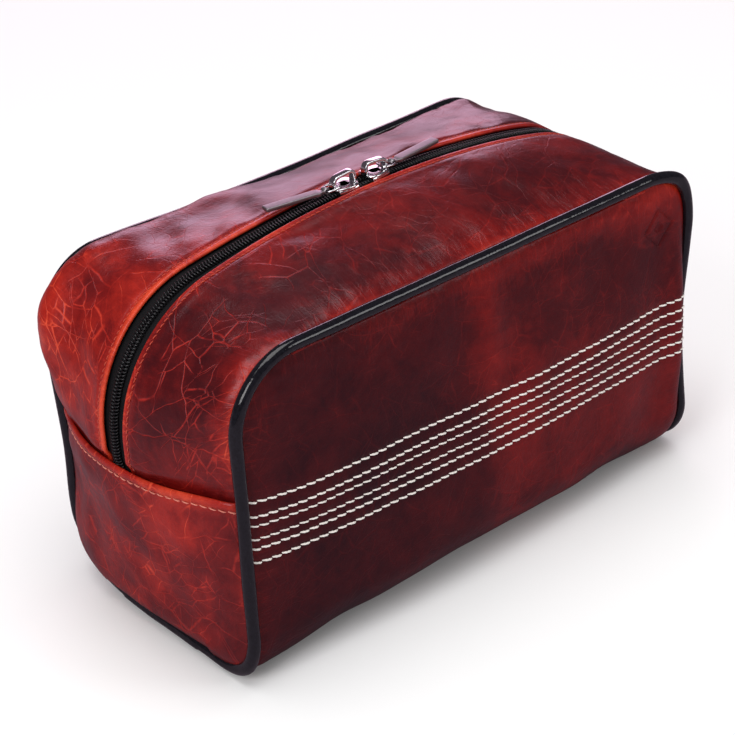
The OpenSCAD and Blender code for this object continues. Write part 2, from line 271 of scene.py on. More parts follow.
def outward_normals(shape: Shape, a: Array, b: Array, step: float = 1e-3) -> Array:
    """Unit normals of a surface, pointing away from the middle of the bag.

    The normal is the cross product of the two central differences.

    Args:
        shape: Surface as a function of two parameter arrays.
        a: First parameter.
        b: Second parameter.
        step: Half the difference step.

    Returns:
        Array of vectors.
    """
    across = shape(a + step, b) - shape(a - step, b)
    down = shape(a, b + step) - shape(a, b - step)
    normals = unit(np.cross(across, down))
    facing = np.einsum("...i,...i->...", normals, shape(a, b) - CORE)
    return normals * np.where(facing < 0.0, -1.0, 1.0)[..., None]


def slab(points: Array, normals: Array, thickness: float, arc: int = 6) -> tuple[Array, list[Array], Array]:
    """Give a grid of points a thickness, with rounded edges along its first and last columns.

    Each row becomes a loop: the outer points, a half circle at the last column, the inner points in
    reverse, and a half circle at the first column. The first and last rows are capped flat.

    Args:
        points: Outer surface, rows by columns by 3.
        normals: Outward unit vectors at the points.
        thickness: Depth of the slab.
        arc: Even number of points in each half circle.

    Returns:
        Vertices as rows of loops, the faces, and the grid column that each place in a loop came from.
    """
    rows, cols = points.shape[:2]
    inner = points - normals * thickness
    angles = np.linspace(0.0, np.pi, arc + 2)[1:-1]

    def half_circle(column: int, neighbour: int) -> Array:
        """Points from the outer to the inner surface round one edge."""
        middle = (points[:, column] + inner[:, column]) / 2.0
        up = (points[:, column] - inner[:, column]) / 2.0
        out = unit(points[:, column] - points[:, neighbour]) * np.linalg.norm(up, axis=-1, keepdims=True)
        turn = angles[:, None]
        return middle[:, None] + np.cos(turn) * up[:, None] + np.sin(turn) * out[:, None]

    high = half_circle(cols - 1, cols - 2)
    low = half_circle(0, 1)[:, ::-1]
    half = arc // 2
    loops = np.concatenate([low[:, half:], points, high, inner[:, ::-1], low[:, :half]], axis=1)
    source = np.concatenate([np.zeros(half, int), np.arange(cols), np.full(arc, cols - 1),
                             np.arange(cols)[::-1], np.zeros(half, int)])
    count = loops.shape[1]
    walls = grid_faces(rows, count, wrap_cols=True)
    k = np.arange(count // 2 - 1)
    cap = np.stack([k, k + 1, count - 2 - k, count - 1 - k], -1)
    far_cap = cap[:, ::-1] + (rows - 1) * count
    return loops, [np.concatenate([walls, cap, far_cap])], source


def sweep(path: Array, sections: Array, closed: bool = False,
          ups: Array | None = None) -> tuple[Array, list[Array]]:
    """Carry a section along a path.

    The section's first axis runs across the path and its second along the up vector, which is made
    square to the path. Without ups, up points away from the middle of the bag.

    Args:
        path: Points of the path.
        sections: One section for all points, or one for each, as points by 2.
        closed: Whether the path closes on itself.
        ups: Optional up vector at each point.

    Returns:
        Vertices as rings, and the faces with flat caps on an open path.
    """
    if closed:
        along = unit(np.roll(path, -1, axis=0) - np.roll(path, 1, axis=0))
    else:
        along = unit(np.gradient(path, axis=0))
    up = path - CORE if ups is None else ups
    across = unit(np.cross(along, up))
    up = np.cross(across, along)
    if sections.ndim == 2:
        sections = np.broadcast_to(sections, (len(path),) + sections.shape)
    rings = path[:, None] + across[:, None] * sections[..., :1] + up[:, None] * sections[..., 1:]
    sides = rings.shape[1]
    groups = [grid_faces(len(path), sides, wrap_rows=closed, wrap_cols=True)]
    if not closed:
        first = np.arange(sides)[None, :]
        groups.append(np.concatenate([first, first[:, ::-1] + (len(path) - 1) * sides]))
    return rings, groups


def turns(count: int) -> Array:
    """Even angles once round, without the last."""
    return np.linspace(0.0, 2.0 * np.pi, count, endpoint=False)


def circle(radius: float, sides: int, flat: float = 1.0) -> Array:
    """Points of a circle, or of an ellipse that is flat times as high as it is wide."""
    turn = turns(sides)
    return np.stack([radius * np.cos(turn), radius * flat * np.sin(turn)], -1)


def squared(turn: Array, across: float, up: float) -> Array:
    """Points of a superellipse: cosine and sine, each raised to its own power with its sign kept."""
    c, s = np.cos(turn), np.sin(turn)
    return np.stack([np.sign(c) * np.abs(c) ** across, np.sign(s) * np.abs(s) ** up], -1)


def walk(path: Array, places: Array) -> Array:
    """Points at given lengths along a dense line of points."""
    lengths = np.concatenate([[0.0], np.cumsum(np.linalg.norm(np.diff(path[:, :3], axis=0), axis=1))])
    return np.stack([np.interp(places, lengths, path[:, k]) for k in range(path.shape[1])], -1)


def line_length(path: Array) -> float:
    """Length of a line of points."""
    return float(np.linalg.norm(np.diff(path, axis=0), axis=1).sum())


def join(parts: Sequence[tuple[Array, Sequence[Array]]]) -> tuple[Array, list[Array]]:
    """Put several closed shapes into one list of vertices and faces.

    Args:
        parts: Vertices and face groups of each shape.

    Returns:
        All vertices, and the faces with their indices moved on.
    """
    points: list[Array] = []
    groups: list[Array] = []
    start = 0
    for vertices, faces in parts:
        vertices = vertices.reshape(-1, 3)
        faces = [np.asarray(group, int) for group in faces]
        if signed_volume(vertices - vertices.mean(axis=0), faces) < 0.0:
            faces = [group[:, ::-1] for group in faces]
        points.append(vertices)
        groups.extend(group + start for group in faces)
        start += len(vertices)
    return np.concatenate(points), groups


# ------------ thread


@dataclass(frozen=True)
class Thread:
    """Two-ply sewing thread and how it is sewn."""

    radius: float
    pitch: float
    length: float
    slant: float = 0.0
    uneven: float = 0.0
    seed: int = 1
    rings: int = 9
    sides: int = 8

    def sew(self, path: Array, normals: Array) -> tuple[Array, list[Array]]:
        """Separate stitches along a line on a surface.

        Stitch number n runs from n times the pitch for the thread's length. Along it, t goes from 0 to 1
        and the thread lies at a height of radius times (1.55 sin(pi t) ^ 0.5 - 0.6), so both ends go into
        the leather. Its section has two lobes that turn once and a half along the stitch, as twisted
        thread has.

        Args:
            path: Dense points on the surface.
            normals: Outward unit vectors at the points.

        Returns:
            Vertices and faces of all stitches.
        """
        rng = np.random.default_rng(self.seed)
        total = line_length(path)
        count = max(int(total / self.pitch), 1)
        t = np.linspace(0.0, 1.0, self.rings)
        starts = (np.arange(count) + 0.5) * total / count - self.length / 2.0
        starts = starts + rng.normal(size=count) * self.uneven * 0.3
        tracks = np.concatenate([path, normals], axis=1)
        places = starts[:, None] + t * self.length
        samples = walk(tracks, places)
        centre, up = samples[..., :3], unit(samples[..., 3:])
        along = unit(walk(path, places + 1e-4) - walk(path, places - 1e-4))
        across = unit(np.cross(along, up))
        lift = self.radius * (1.55 * np.sqrt(np.sin(np.pi * t)) - 0.6)
        tilt = (t - 0.5) * self.slant + rng.normal(size=(count, 1)) * self.uneven
        centre = centre + up * lift[:, None] + across * tilt[..., None]
        turn = turns(self.sides)
        twist = 3.0 * np.pi * t[:, None]
        lobes = 0.86 + 0.2 * np.cos(2.0 * (turn - twist))
        swell = self.radius * lobes * (0.45 + 0.55 * np.sin(np.pi * t)[:, None] ** 0.4)
        rings = (centre[:, :, None] + across[:, :, None] * (np.cos(turn) * swell)[..., None]
                 + up[:, :, None] * (np.sin(turn) * swell)[..., None])
        size = self.rings * self.sides
        one = grid_faces(self.rings, self.sides, wrap_cols=True)
        cap = np.arange(self.sides)[None, :]
        caps = np.concatenate([cap[:, ::-1], cap + size - self.sides])
        shift = (np.arange(count) * size)[:, None, None]
        return rings.reshape(-1, 3), [(one[None] + shift).reshape(-1, 4),
                                      (caps[None] + shift).reshape(-1, self.sides)]


# ------------ the bag's form


@dataclass(frozen=True)
class BagForm:
    """The bag's driving sizes, read from the frame, and the surfaces that follow from them."""

    half_length: float
    half_depth: float
    height: float
    crown: float
    end_swell: float
    face_swell: float
    seam_height: float
    foot_r: float
    zip_curve_half: float = 92 * MM
    corner_r: float = 30 * MM
    piping_r: float = 2.9 * MM
    zip_gap_half: float = 6 * MM
    zip_curve_r: float = 480 * MM
    swell_height: float = 60 * MM
    leather: float = 1.8 * MM

    @classmethod
    def from_frame(cls) -> "BagForm":
        """Work the sizes out from the boxes of the CAD nodes.

        Returns:
            The form.
        """
        piping_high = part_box("piping_cover")[1]
        half_length, half_depth = piping_high.x - cls.piping_r, piping_high.y - cls.piping_r
        height = piping_high.z - cls.piping_r
        strip_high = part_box("top_strip_front")[1]
        shoulder_low, shoulder_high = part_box("shoulder_front_right")
        rise = 1.0 - (cls.zip_gap_half / half_depth) ** 2
        return cls(half_length=half_length, half_depth=half_depth, height=height,
                   crown=(strip_high.z - height) / rise,
                   end_swell=(shoulder_high.x - half_length) / rise,
                   face_swell=-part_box("front_panel")[0].y - half_depth,
                   seam_height=shoulder_low.z - 0.3 * MM,
                   foot_r=half_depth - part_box("base_board")[1].y - 2 * MM)

    @property
    def zip_end(self) -> float:
        """X of the zip line at the ends."""
        return self.half_length + self.end_swell

    @property
    def zip_centre_z(self) -> float:
        """Height of the centre of the zip's long curve, far below the bag."""
        return self.height + self.crown - self.zip_curve_r

    def rail(self, a: Array, depth: Array) -> tuple[Array, Array]:
        """Outline of the piping seen from the front, moved in by depth.

        Step a goes 0 to 1 along the straight top, 1 to 2 round the corner arc, and on past 2 straight
        down, reaching the hem at 3.

        Args:
            a: Steps, never negative.
            depth: Distance inside the outline.

        Returns:
            X and Z.
        """
        straight = self.half_length - self.corner_r
        spring = self.height - self.corner_r
        bend = np.clip(a - 1.0, 0.0, 1.0) * np.pi / 2.0
        r = self.corner_r - depth
        x = np.where(a < 1.0, straight * a, straight + r * np.sin(bend))
        z = np.where(a < 2.0, spring + r * np.cos(bend), spring - (a - 2.0) * (spring - self.seam_height))
        return x, z

    def crest(self, a: Array, depth: Array) -> tuple[Array, Array]:
        """Outline of the zip line, moved in by depth, on the same steps as the rail.

        A long arc runs over the top, a short arc tangent to it turns down, and a straight line drops to
        the hem.

        Args:
            a: Steps, never negative.
            depth: Distance inside the outline.

        Returns:
            X and Z.
        """
        angle = np.arcsin(self.zip_curve_half / self.zip_curve_r)
        bend_r = (self.zip_end - self.zip_curve_half) / (1.0 - np.sin(angle))
        bend_x = self.zip_curve_half - bend_r * np.sin(angle)
        bend_z = self.zip_centre_z + (self.zip_curve_r - bend_r) * np.cos(angle)
        over = angle * np.minimum(a, 1.0)
        turn = angle + (np.pi / 2.0 - angle) * np.clip(a - 1.0, 0.0, 1.0)
        x = np.where(a < 1.0, (self.zip_curve_r - depth) * np.sin(over),
                     bend_x + (bend_r - depth) * np.sin(turn))
        z = np.where(a < 1.0, self.zip_centre_z + (self.zip_curve_r - depth) * np.cos(over),
                     bend_z + (bend_r - depth) * np.cos(turn))
        z = np.where(a > 2.0, bend_z - (a - 2.0) * (bend_z - self.seam_height), z)
        return x, z

    def gusset(self, u: Array, y: Array, depth: Array | float = 0.0) -> Array:
        """Points of the gusset over the top and down the ends.

        Between the rail at y = half the depth and the crest at y = 0, the outline follows
        1 - (y / half depth)^2.

        Args:
            u: Step along the bag, negative to the left.
            y: Y of the points.
            depth: Depth below the leather's outer surface.

        Returns:
            Points.
        """
        u, y, depth = np.broadcast_arrays(u, y, depth)
        a = np.abs(u)
        rise = 1.0 - (y / self.half_depth) ** 2
        rail_x, rail_z = self.rail(a, depth)
        crest_x, crest_z = self.crest(a, depth)
        x = rail_x + (crest_x - rail_x) * rise
        return np.stack([np.sign(u) * x, y, rail_z + (crest_z - rail_z) * rise], -1)

    def along_gusset(self, u: Array) -> Array:
        """Length along the gusset's middle line from the middle of the top, for each step u."""
        steps = np.linspace(0.0, 3.4, 1200)
        line = self.gusset(steps, np.full_like(steps, -self.half_depth / 2.0))
        lengths = np.concatenate([[0.0], np.cumsum(np.linalg.norm(np.diff(line, axis=0), axis=1))])
        return np.sign(u) * np.interp(np.abs(u), steps, lengths)

    def even_steps(self, count: int, limit: float) -> Array:
        """Steps along the gusset, evenly spaced by length, from -limit to limit."""
        ends = self.along_gusset(np.array([limit]))[0]
        steps = np.linspace(0.0, limit, 1200)
        lengths = self.along_gusset(steps)
        places = np.linspace(-ends, ends, count)
        return np.sign(places) * np.interp(np.abs(places), lengths, steps)

    def fullness(self, z: Array) -> Array:
        """How full the front is at height z: 0 at the base and the top, and 1 between them."""
        low = 1.0 - (1.0 - z / self.swell_height) ** 2
        high = 1.0 - ((z - self.swell_height) / (self.height - self.swell_height)) ** 2
        return np.clip(np.where(z < self.swell_height, low, high), 0.0, 1.0)


def follow_opening(piece: bpy.types.Object) -> None:
    """Bake a piece's placement into its mesh and read its points; nothing bends it.

    Args:
        piece: Mesh in its final shape.
    """
    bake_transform(piece)
    count = len(piece.data.vertices)
    co = np.zeros(count * 3, np.float32)
    piece.data.vertices.foreach_get("co", co)


# ------------ finishes


class Graph:
    """A small helper that adds and links shader nodes in a material or a node group."""

    def __init__(self, tree: bpy.types.NodeTree) -> None:
        """Keep the tree that nodes are added to."""
        self.tree = tree

    @property
    def place(self) -> bpy.types.NodeSocket:
        """The piece's own coordinates."""
        return self.node("ShaderNodeTexCoord").outputs["Object"]

    def feed(self, node: bpy.types.Node, **inputs: object) -> None:
        """Link sockets to a node's inputs, or set their values.

        Args:
            node: The node.
            **inputs: Values or sockets, by the input's name with _ for a space, or i0, i1... by place.
        """
        for key, value in inputs.items():
            place = int(key[1:]) if key[0] == "i" and key[1:].isdigit() else key.replace("_", " ")
            if isinstance(value, bpy.types.NodeSocket):
                self.tree.links.new(value, node.inputs[place])
            else:
                node.inputs[place].default_value = value

    def node(self, kind: str, settings: dict | None = None, **inputs: object) -> bpy.types.Node:
        """Add a node.

        Args:
            kind: Blender's type name of the node.
            settings: Properties to set on the node.
            **inputs: Input values or sockets, as feed takes them.

        Returns:
            The node.
        """
        node = self.tree.nodes.new(kind)
        for key, value in (settings or {}).items():
            setattr(node, key, value)
        self.feed(node, **inputs)
        return node

    def attribute(self, name: str) -> bpy.types.NodeSocket:
        """A painted value of the piece."""
        return self.node("ShaderNodeAttribute", {"attribute_name": name}).outputs["Fac"]

    def uv(self, name: str) -> bpy.types.NodeSocket:
        """A UV map of the piece."""
        return self.node("ShaderNodeUVMap", {"uv_map": name}).outputs[0]

    def math(self, operation: str, a: object, b: object = 0.0, c: object = 0.0,
             clamp: bool = False) -> bpy.types.NodeSocket:
        """Add a Math node and return its value."""
        settings = {"operation": operation, "use_clamp": clamp}
        return self.node("ShaderNodeMath", settings, i0=a, i1=b, i2=c).outputs[0]

    def times(self, a: object, *others: object) -> bpy.types.NodeSocket:
        """Product of two or more values."""
        for other in others:
            a = self.math("MULTIPLY", a, other)
        return a

    def add_to(self, total: object, *terms: tuple[object, object]) -> bpy.types.NodeSocket:
        """Add pairs of values to a total, each pair multiplied together."""
        for a, b in terms:
            total = self.math("MULTIPLY_ADD", a, b, total)
        return total

    def vector(self, operation: str, a: object, b: object = (0.0, 0.0, 0.0)) -> bpy.types.NodeSocket:
        """Add a Vector Math node and return its vector."""
        return self.node("ShaderNodeVectorMath", {"operation": operation}, i0=a, i1=b).outputs[0]

    def noise(self, vector: object, scale: float, detail: float = 2.0, roughness: float = 0.5,
              distortion: float = 0.0) -> bpy.types.NodeSocket:
        """Add a Noise Texture node and return its value."""
        return self.node("ShaderNodeTexNoise", None, Vector=vector, Scale=scale, Detail=detail,
                         Roughness=roughness, Distortion=distortion).outputs[0]

    def ramp(self, value: object, stops: Sequence[tuple[float, Sequence[float]]]) -> bpy.types.NodeSocket:
        """Add a Color Ramp with the given places and colours and return its colour."""
        node = self.node("ShaderNodeValToRGB", None, Fac=value)
        elements = node.color_ramp.elements
        while len(elements) < len(stops):
            elements.new(0.5)
        for element, (place, colour) in zip(elements, stops):
            element.position = place
            element.color = (*colour, 1.0)
        return node.outputs[0]

    def fade(self, value: object, low: float, high: float, to_low: float = 0.0,
             to_high: float = 1.0) -> bpy.types.NodeSocket:
        """Add a smooth Map Range from low..high to to_low..to_high and return its value."""
        return self.node("ShaderNodeMapRange", {"interpolation_type": "SMOOTHSTEP"}, i0=value, i1=low,
                         i2=high, i3=to_low, i4=to_high).outputs[0]


def open_group(name: str, inputs: dict[str, str]) -> tuple[bpy.types.NodeTree, object, Graph | None]:
    """Start a node group, or find it where it is built already.

    Args:
        name: Its name.
        inputs: Kind of each input socket, by its label.

    Returns:
        The group, its inputs and its graph. The last two are None where it is built already.
    """
    if name in bpy.data.node_groups:
        return bpy.data.node_groups[name], None, None
    tree = bpy.data.node_groups.new(name, "ShaderNodeTree")
    for label, kind in inputs.items():
        tree.interface.new_socket(label, in_out="INPUT", socket_type=kind)
    return tree, tree.nodes.new("NodeGroupInput").outputs, Graph(tree)


def close_group(tree: bpy.types.NodeTree, outputs: dict[str, bpy.types.NodeSocket]) -> None:
    """Give a node group its outputs: a colour where the label is Color, and numbers elsewhere."""
    for label in outputs:
        kind = "NodeSocketColor" if label == "Color" else "NodeSocketFloat"
        tree.interface.new_socket(label, in_out="OUTPUT", socket_type=kind)
    out = tree.nodes.new("NodeGroupOutput")
    for label, value in outputs.items():
        tree.links.new(value, out.inputs[label])


def hide_group() -> bpy.types.NodeTree:
    """Node group for the figure of waxed hide.

    Clouds of tone, crossing creases, and short streaks that run away from a seam all add to one tone
    value, which a colour ramp turns from plum through maroon to orange-red. Each set of creases is the
    edges of cells that are stretched in their own direction over the flat leather, kept only in places.
    The same masks make the height and the roughness.

    Returns:
        The group.
    """
    kinds = dict.fromkeys(("Vector", "Flat", "Seam"), "NodeSocketVector")
    kinds |= dict.fromkeys(("Tone", "Wear", "Crease", "Creases", "Streaks", "Clouds"), "NodeSocketFloat")
    tree, given, g = open_group("waxed_hide", kinds)
    if given is None:
        return tree
    place = given["Vector"]
    patchy = g.noise(place, 33.0, 3.0, 0.6)
    broken = g.noise(place, 210.0, 2.0, 0.6)

    # Crossing creases: turn in degrees, length and breadth of the cells in metres, half width of a line,
    # and the level of the noise above which they are kept
    drift = g.node("ShaderNodeTexNoise", None, Vector=given["Flat"], Scale=55.0, Detail=2.0).outputs[1]
    bent = g.vector("ADD", given["Flat"], g.vector("MULTIPLY", drift, (0.008, 0.008, 0.0)))
    web: object = 0.0
    for turn, length, breadth, width, low in (
            (15, 0.034, 0.0150, 0.020, 0.47), (68, 0.030, 0.0130, 0.022, 0.47),
            (125, 0.026, 0.0110, 0.022, 0.48), (155, 0.014, 0.0060, 0.030, 0.52)):
        laid = g.node("ShaderNodeMapping", {"vector_type": "TEXTURE"}, Vector=bent,
                      Rotation=(0.0, 0.0, np.radians(turn)), Scale=(length, breadth, 1.0)).outputs[0]
        edge = g.node("ShaderNodeTexVoronoi", {"feature": "DISTANCE_TO_EDGE"}, Vector=laid,
                      Scale=1.0).outputs[0]
        kept = g.noise(g.vector("ADD", place, (turn * 0.01, 0.0, 0.0)), 42.0, 1.0)
        line = g.times(g.fade(edge, 0.0, width, 1.0, 0.0), g.fade(kept, low, low + 0.10))
        web = g.math("MAXIMUM", web, line)
    web = g.times(web, g.fade(broken, 0.30, 0.52, 0.35, 1.0), given["Creases"], given["Crease"])

    # Streaks are noise stretched away from the seam, strongest beside it
    drawn = g.vector("MULTIPLY", given["Seam"], (900.0, 95.0, 0.0))
    streak = g.fade(g.noise(drawn, 1.0, 3.0, 0.65, 0.5), 0.48, 0.70)
    brushed = g.vector("MULTIPLY", given["Flat"], (760.0, 120.0, 0.0))
    bristle = g.fade(g.noise(brushed, 1.0, 2.0, 0.6, 0.9), 0.56, 0.74)
    from_seam = g.node("ShaderNodeSeparateXYZ", None, Vector=given["Seam"]).outputs[1]
    streak = g.times(streak, g.fade(from_seam, 0.001, 0.024, 1.0, 0.12))
    bristle = g.times(bristle, g.fade(patchy, 0.40, 0.62, 0.1, 1.0))
    streak = g.times(g.add_to(streak, (bristle, 0.35)), given["Streaks"])

    clouds = g.fade(g.noise(place, 14.0, 5.0, 0.6, 0.8), 0.36, 0.64, -0.5, 0.5)
    blots = g.fade(g.noise(place, 44.0, 5.0, 0.66, 0.5), 0.38, 0.62, -0.5, 0.5)
    mottle = g.math("SUBTRACT", g.noise(place, 150.0, 5.0, 0.7), 0.5)
    tone = g.add_to(given["Tone"], (clouds, given["Clouds"]), (g.times(blots, given["Clouds"]), 0.42),
                    (mottle, 0.36), (web, 0.40), (streak, 0.13), (given["Wear"], 0.5))
    colour = g.ramp(tone, [(0.0, (0.022, 0.0022, 0.0040)), (0.25, (0.060, 0.0024, 0.0034)),
                           (0.5, (0.155, 0.0040, 0.0032)), (0.75, (0.34, 0.012, 0.0050)),
                           (1.0, (0.62, 0.056, 0.019))])
    pores = g.node("ShaderNodeTexVoronoi", {"feature": "F1"}, Vector=place, Scale=1500.0).outputs[0]
    grain = g.times(g.noise(place, 620.0, 3.0), 0.24)
    height = g.add_to(grain, (web, -0.5), (pores, 0.10), (streak, 0.25), (blots, 0.30))
    roughness = g.add_to(g.add_to(0.34, (mottle, 0.20)), (web, 0.12))
    close_group(tree, {"Color": colour, "Roughness": roughness, "Height": height})
    return tree


def fibre_group() -> bpy.types.NodeTree:
    """Node group for woven and twisted fibres.

    Two crossed waves along the given vector make the weave, and noise breaks it up.

    Returns:
        The group, which puts out a mask of the threads and a height.
    """
    tree, given, g = open_group("woven_fibre", {"Vector": "NodeSocketVector", "Count": "NodeSocketFloat"})
    if given is None:
        return tree
    scaled = g.node("ShaderNodeVectorMath", {"operation": "SCALE"}, Vector=given["Vector"],
                    Scale=given["Count"]).outputs[0]
    axes = g.node("ShaderNodeSeparateXYZ", None, Vector=scaled).outputs
    warp = g.math("SINE", g.math("ADD", axes[0], axes[2]))
    weft = g.math("SINE", g.math("ADD", axes[1], g.times(axes[2], 0.37)))
    cross = g.math("MULTIPLY_ADD", g.times(warp, weft), 0.5, 0.5)
    fuzz = g.noise(given["Vector"], 1400.0, 3.0)
    threads = g.math("MULTIPLY_ADD", g.math("SUBTRACT", fuzz, 0.5), 0.5, cross, clamp=True)
    close_group(tree, {"Threads": threads, "Height": g.add_to(cross, (fuzz, 0.4))})
    return tree


class Finish:
    """A material that is built the first time that it is asked for."""

    name = "finish"

    def material(self) -> bpy.types.Material:
        """Return the material, building it once."""
        if self.name in bpy.data.materials:
            return bpy.data.materials[self.name]
        material = bpy.data.materials.new(self.name)
        material.use_nodes = True
        tree = material.node_tree
        tree.nodes.clear()
        graph = Graph(tree)
        shader = graph.node("ShaderNodeBsdfPrincipled")
        out = graph.node("ShaderNodeOutputMaterial")
        tree.links.new(shader.outputs[0], out.inputs[0])
        self.dress(graph, shader)
        return material

    def dress(self, graph: Graph, shader: bpy.types.Node) -> None:
        """Add the nodes and values of this finish."""
        raise NotImplementedError

    def bump(self, graph: Graph, height: object, distance: float) -> bpy.types.NodeSocket:
        """Turn a height into a normal."""
        return graph.node("ShaderNodeBump", None, Height=height, Distance=distance).outputs[0]


@dataclass(frozen=True)
class Hide(Finish):
    """Glossy pull-up leather."""

    name: str = "hide"
    creases: float = 1.0
    streaks: float = 1.0
    clouds: float = 0.9
    bump_depth: float = 0.30 * MM
    gloss: float = 0.5
    coat: float = 0.2

    def dress(self, graph: Graph, shader: bpy.types.Node) -> None:
        """Read the painted tone and wear, and the seam map, and pass them through the hide group."""
        group = graph.node("ShaderNodeGroup", {"node_tree": hide_group()}, Vector=graph.place,
                           Flat=graph.uv("flat"), Seam=graph.uv("seam"), Tone=graph.attribute("tone"),
                           Wear=graph.attribute("wear"), Crease=graph.attribute("crease"),
                           Creases=self.creases, Streaks=self.streaks, Clouds=self.clouds).outputs
        graph.feed(shader, Base_Color=group["Color"], Roughness=group["Roughness"],
                   Normal=self.bump(graph, group["Height"], self.bump_depth), Coat_Weight=self.coat,
                   Coat_Roughness=0.2, Specular_IOR_Level=self.gloss, Specular_Tint=(1.0, 0.84, 0.94, 1.0))


@dataclass(frozen=True)
class Patent(Finish):
    """Black coated binding with a hard gloss."""

    name: str = "patent"

    def dress(self, graph: Graph, shader: bpy.types.Node) -> None:
        """Fine unevenness in the coat, and slight scuffs."""
        place = graph.place
        grain = graph.noise(place, 900.0, 2.0)
        height = graph.add_to(graph.noise(place, 160.0, 2.0), (grain, 0.12))
        colour = graph.ramp(grain, [(0.3, (0.0035, 0.0035, 0.005)), (0.8, (0.009, 0.009, 0.013))])
        scuff = graph.fade(graph.noise(place, 70.0, 6.0, 0.7), 0.5, 0.75, 0.09, 0.2)
        graph.feed(shader, Base_Color=colour, Roughness=scuff,
                   Normal=self.bump(graph, height, 0.35 * MM), Coat_Weight=0.25, Coat_Roughness=0.05,
                   Specular_IOR_Level=0.35)


@dataclass(frozen=True)
class Woven(Finish):
    """Woven or twisted fibres."""

    name: str = "woven"
    dark: tuple[float, float, float] = (0.0015, 0.0015, 0.002)
    light: tuple[float, float, float] = (0.007, 0.007, 0.009)
    count: float = 9000.0
    depth: float = 0.12 * MM
    roughness: float = 0.75
    sheen: float = 0.0

    def dress(self, graph: Graph, shader: bpy.types.Node) -> None:
        """Colour and height from the fibre group."""
        group = graph.node("ShaderNodeGroup", {"node_tree": fibre_group()}, Vector=graph.place,
                           Count=self.count).outputs
        graph.feed(shader, Base_Color=graph.ramp(group["Threads"], [(0.1, self.dark), (0.9, self.light)]),
                   Normal=self.bump(graph, group["Height"], self.depth), Roughness=self.roughness,
                   Sheen_Weight=self.sheen, Specular_IOR_Level=0.25)


@dataclass(frozen=True)
class Nylon(Finish):
    """Moulded black nylon."""

    name: str = "nylon"

    def dress(self, graph: Graph, shader: bpy.types.Node) -> None:
        """Almost even black with a soft shine."""
        speckle = graph.noise(graph.place, 1100.0, 2.0)
        colour = graph.ramp(speckle, [(0.3, (0.004, 0.004, 0.005)), (0.8, (0.012, 0.012, 0.014))])
        graph.feed(shader, Base_Color=colour, Roughness=graph.fade(speckle, 0.3, 0.8, 0.28, 0.45))


@dataclass(frozen=True)
class Plated(Finish):
    """Plated or brushed metal."""

    name: str = "plated"
    colour: tuple[float, float, float] = (0.72, 0.72, 0.74)
    roughness: float = 0.12
    brush: float = 0.0

    def dress(self, graph: Graph, shader: bpy.types.Node) -> None:
        """Metal with fine marks, and lines along X where it is brushed."""
        place = graph.place
        lines = graph.noise(graph.vector("MULTIPLY", place, (60.0, 2600.0, 900.0)), 1.0, 2.0)
        marks = graph.noise(place, 800.0, 3.0)
        worn = tuple(0.82 * channel for channel in self.colour)
        spread = graph.add_to(self.roughness, (graph.times(lines, self.brush), 0.5))
        height = graph.math("MULTIPLY_ADD", lines, self.brush, graph.times(marks, 0.1))
        graph.feed(shader, Base_Color=graph.ramp(marks, [(0.3, worn), (0.7, self.colour)]),
                   Roughness=graph.add_to(spread, (marks, 0.08)),
                   Normal=self.bump(graph, height, 0.03 * MM), Metallic=1.0)


@dataclass(frozen=True)
class Fibreboard(Finish):
    """Brown fibre board."""

    name: str = "fibreboard"

    def dress(self, graph: Graph, shader: bpy.types.Node) -> None:
        """Flecked brown."""
        flecks = graph.noise(graph.place, 500.0, 5.0, 0.7)
        colour = graph.ramp(flecks, [(0.3, (0.10, 0.07, 0.04)), (0.7, (0.26, 0.19, 0.12))])
        graph.feed(shader, Base_Color=colour, Normal=self.bump(graph, flecks, 0.1 * MM), Roughness=0.9)


FRONT_HIDE = Hide("hide_front", creases=0.25, streaks=0.75, clouds=0.13, gloss=0.22, coat=0.03)
TOP_HIDE = Hide("hide_top", creases=1.0, streaks=0.9, clouds=0.27, gloss=0.34, coat=0.10)
END_HIDE = Hide("hide_end", creases=0.6, streaks=0.4, clouds=0.24, gloss=0.34, coat=0.08)
PATENT = Patent()
TAPE = Woven("zip_tape_weave")
LINING = Woven("lining_weave", (0.012, 0.012, 0.014), (0.05, 0.05, 0.056), 5200.0, 0.1 * MM, 0.7, 0.3)
CREAM_THREAD = Woven("cream_thread", (0.70, 0.62, 0.57), (0.96, 0.92, 0.88), 14000.0, 0.05 * MM, 0.6, 0.2)
RED_THREAD = Woven("red_thread", (0.26, 0.012, 0.006), (0.66, 0.07, 0.028), 14000.0, 0.05 * MM, 0.6, 0.2)
HEM_THREAD = Woven("hem_thread", (0.50, 0.07, 0.04), (0.85, 0.34, 0.26), 14000.0, 0.05 * MM, 0.6, 0.2)
CORD = Woven("piping_cord_twist", (0.5, 0.46, 0.38), (0.8, 0.76, 0.68), 6000.0, 0.1 * MM, 0.9, 0.2)
NYLON = Nylon()
CHROME = Plated("chrome", (0.86, 0.86, 0.88), 0.10)
GUNMETAL = Plated("gunmetal", (0.42, 0.39, 0.41), 0.24, 0.6)
BOARD = Fibreboard()


def zip_nodes(kind: str, face: Face) -> list[str]:
    """CAD nodes of one side of the zip. The front piece stands for both ends as well."""
    return [f"{kind}_{face.name.lower()}"] + ([f"{kind}_ends"] if face is Face.FRONT else [])


def settle_in(piece: bpy.types.Object, finish: Finish, nodes: Sequence[str],
              body: str | None = "bag") -> bpy.types.Object:
    """Dress a new piece, and let it stand for its CAD nodes.

    Args:
        piece: The new piece.
        finish: Its finish.
        nodes: CAD nodes that it stands for.
        body: The body it rides on, or None to leave it on no body.

    Returns:
        The piece.
    """
    if body:
        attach(piece, body)
    piece.data.materials.append(finish.material())
    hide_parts(*nodes)
    LOG.info("%s: %d vertices", piece.name, len(piece.data.vertices))
    return piece


# ------------ leather


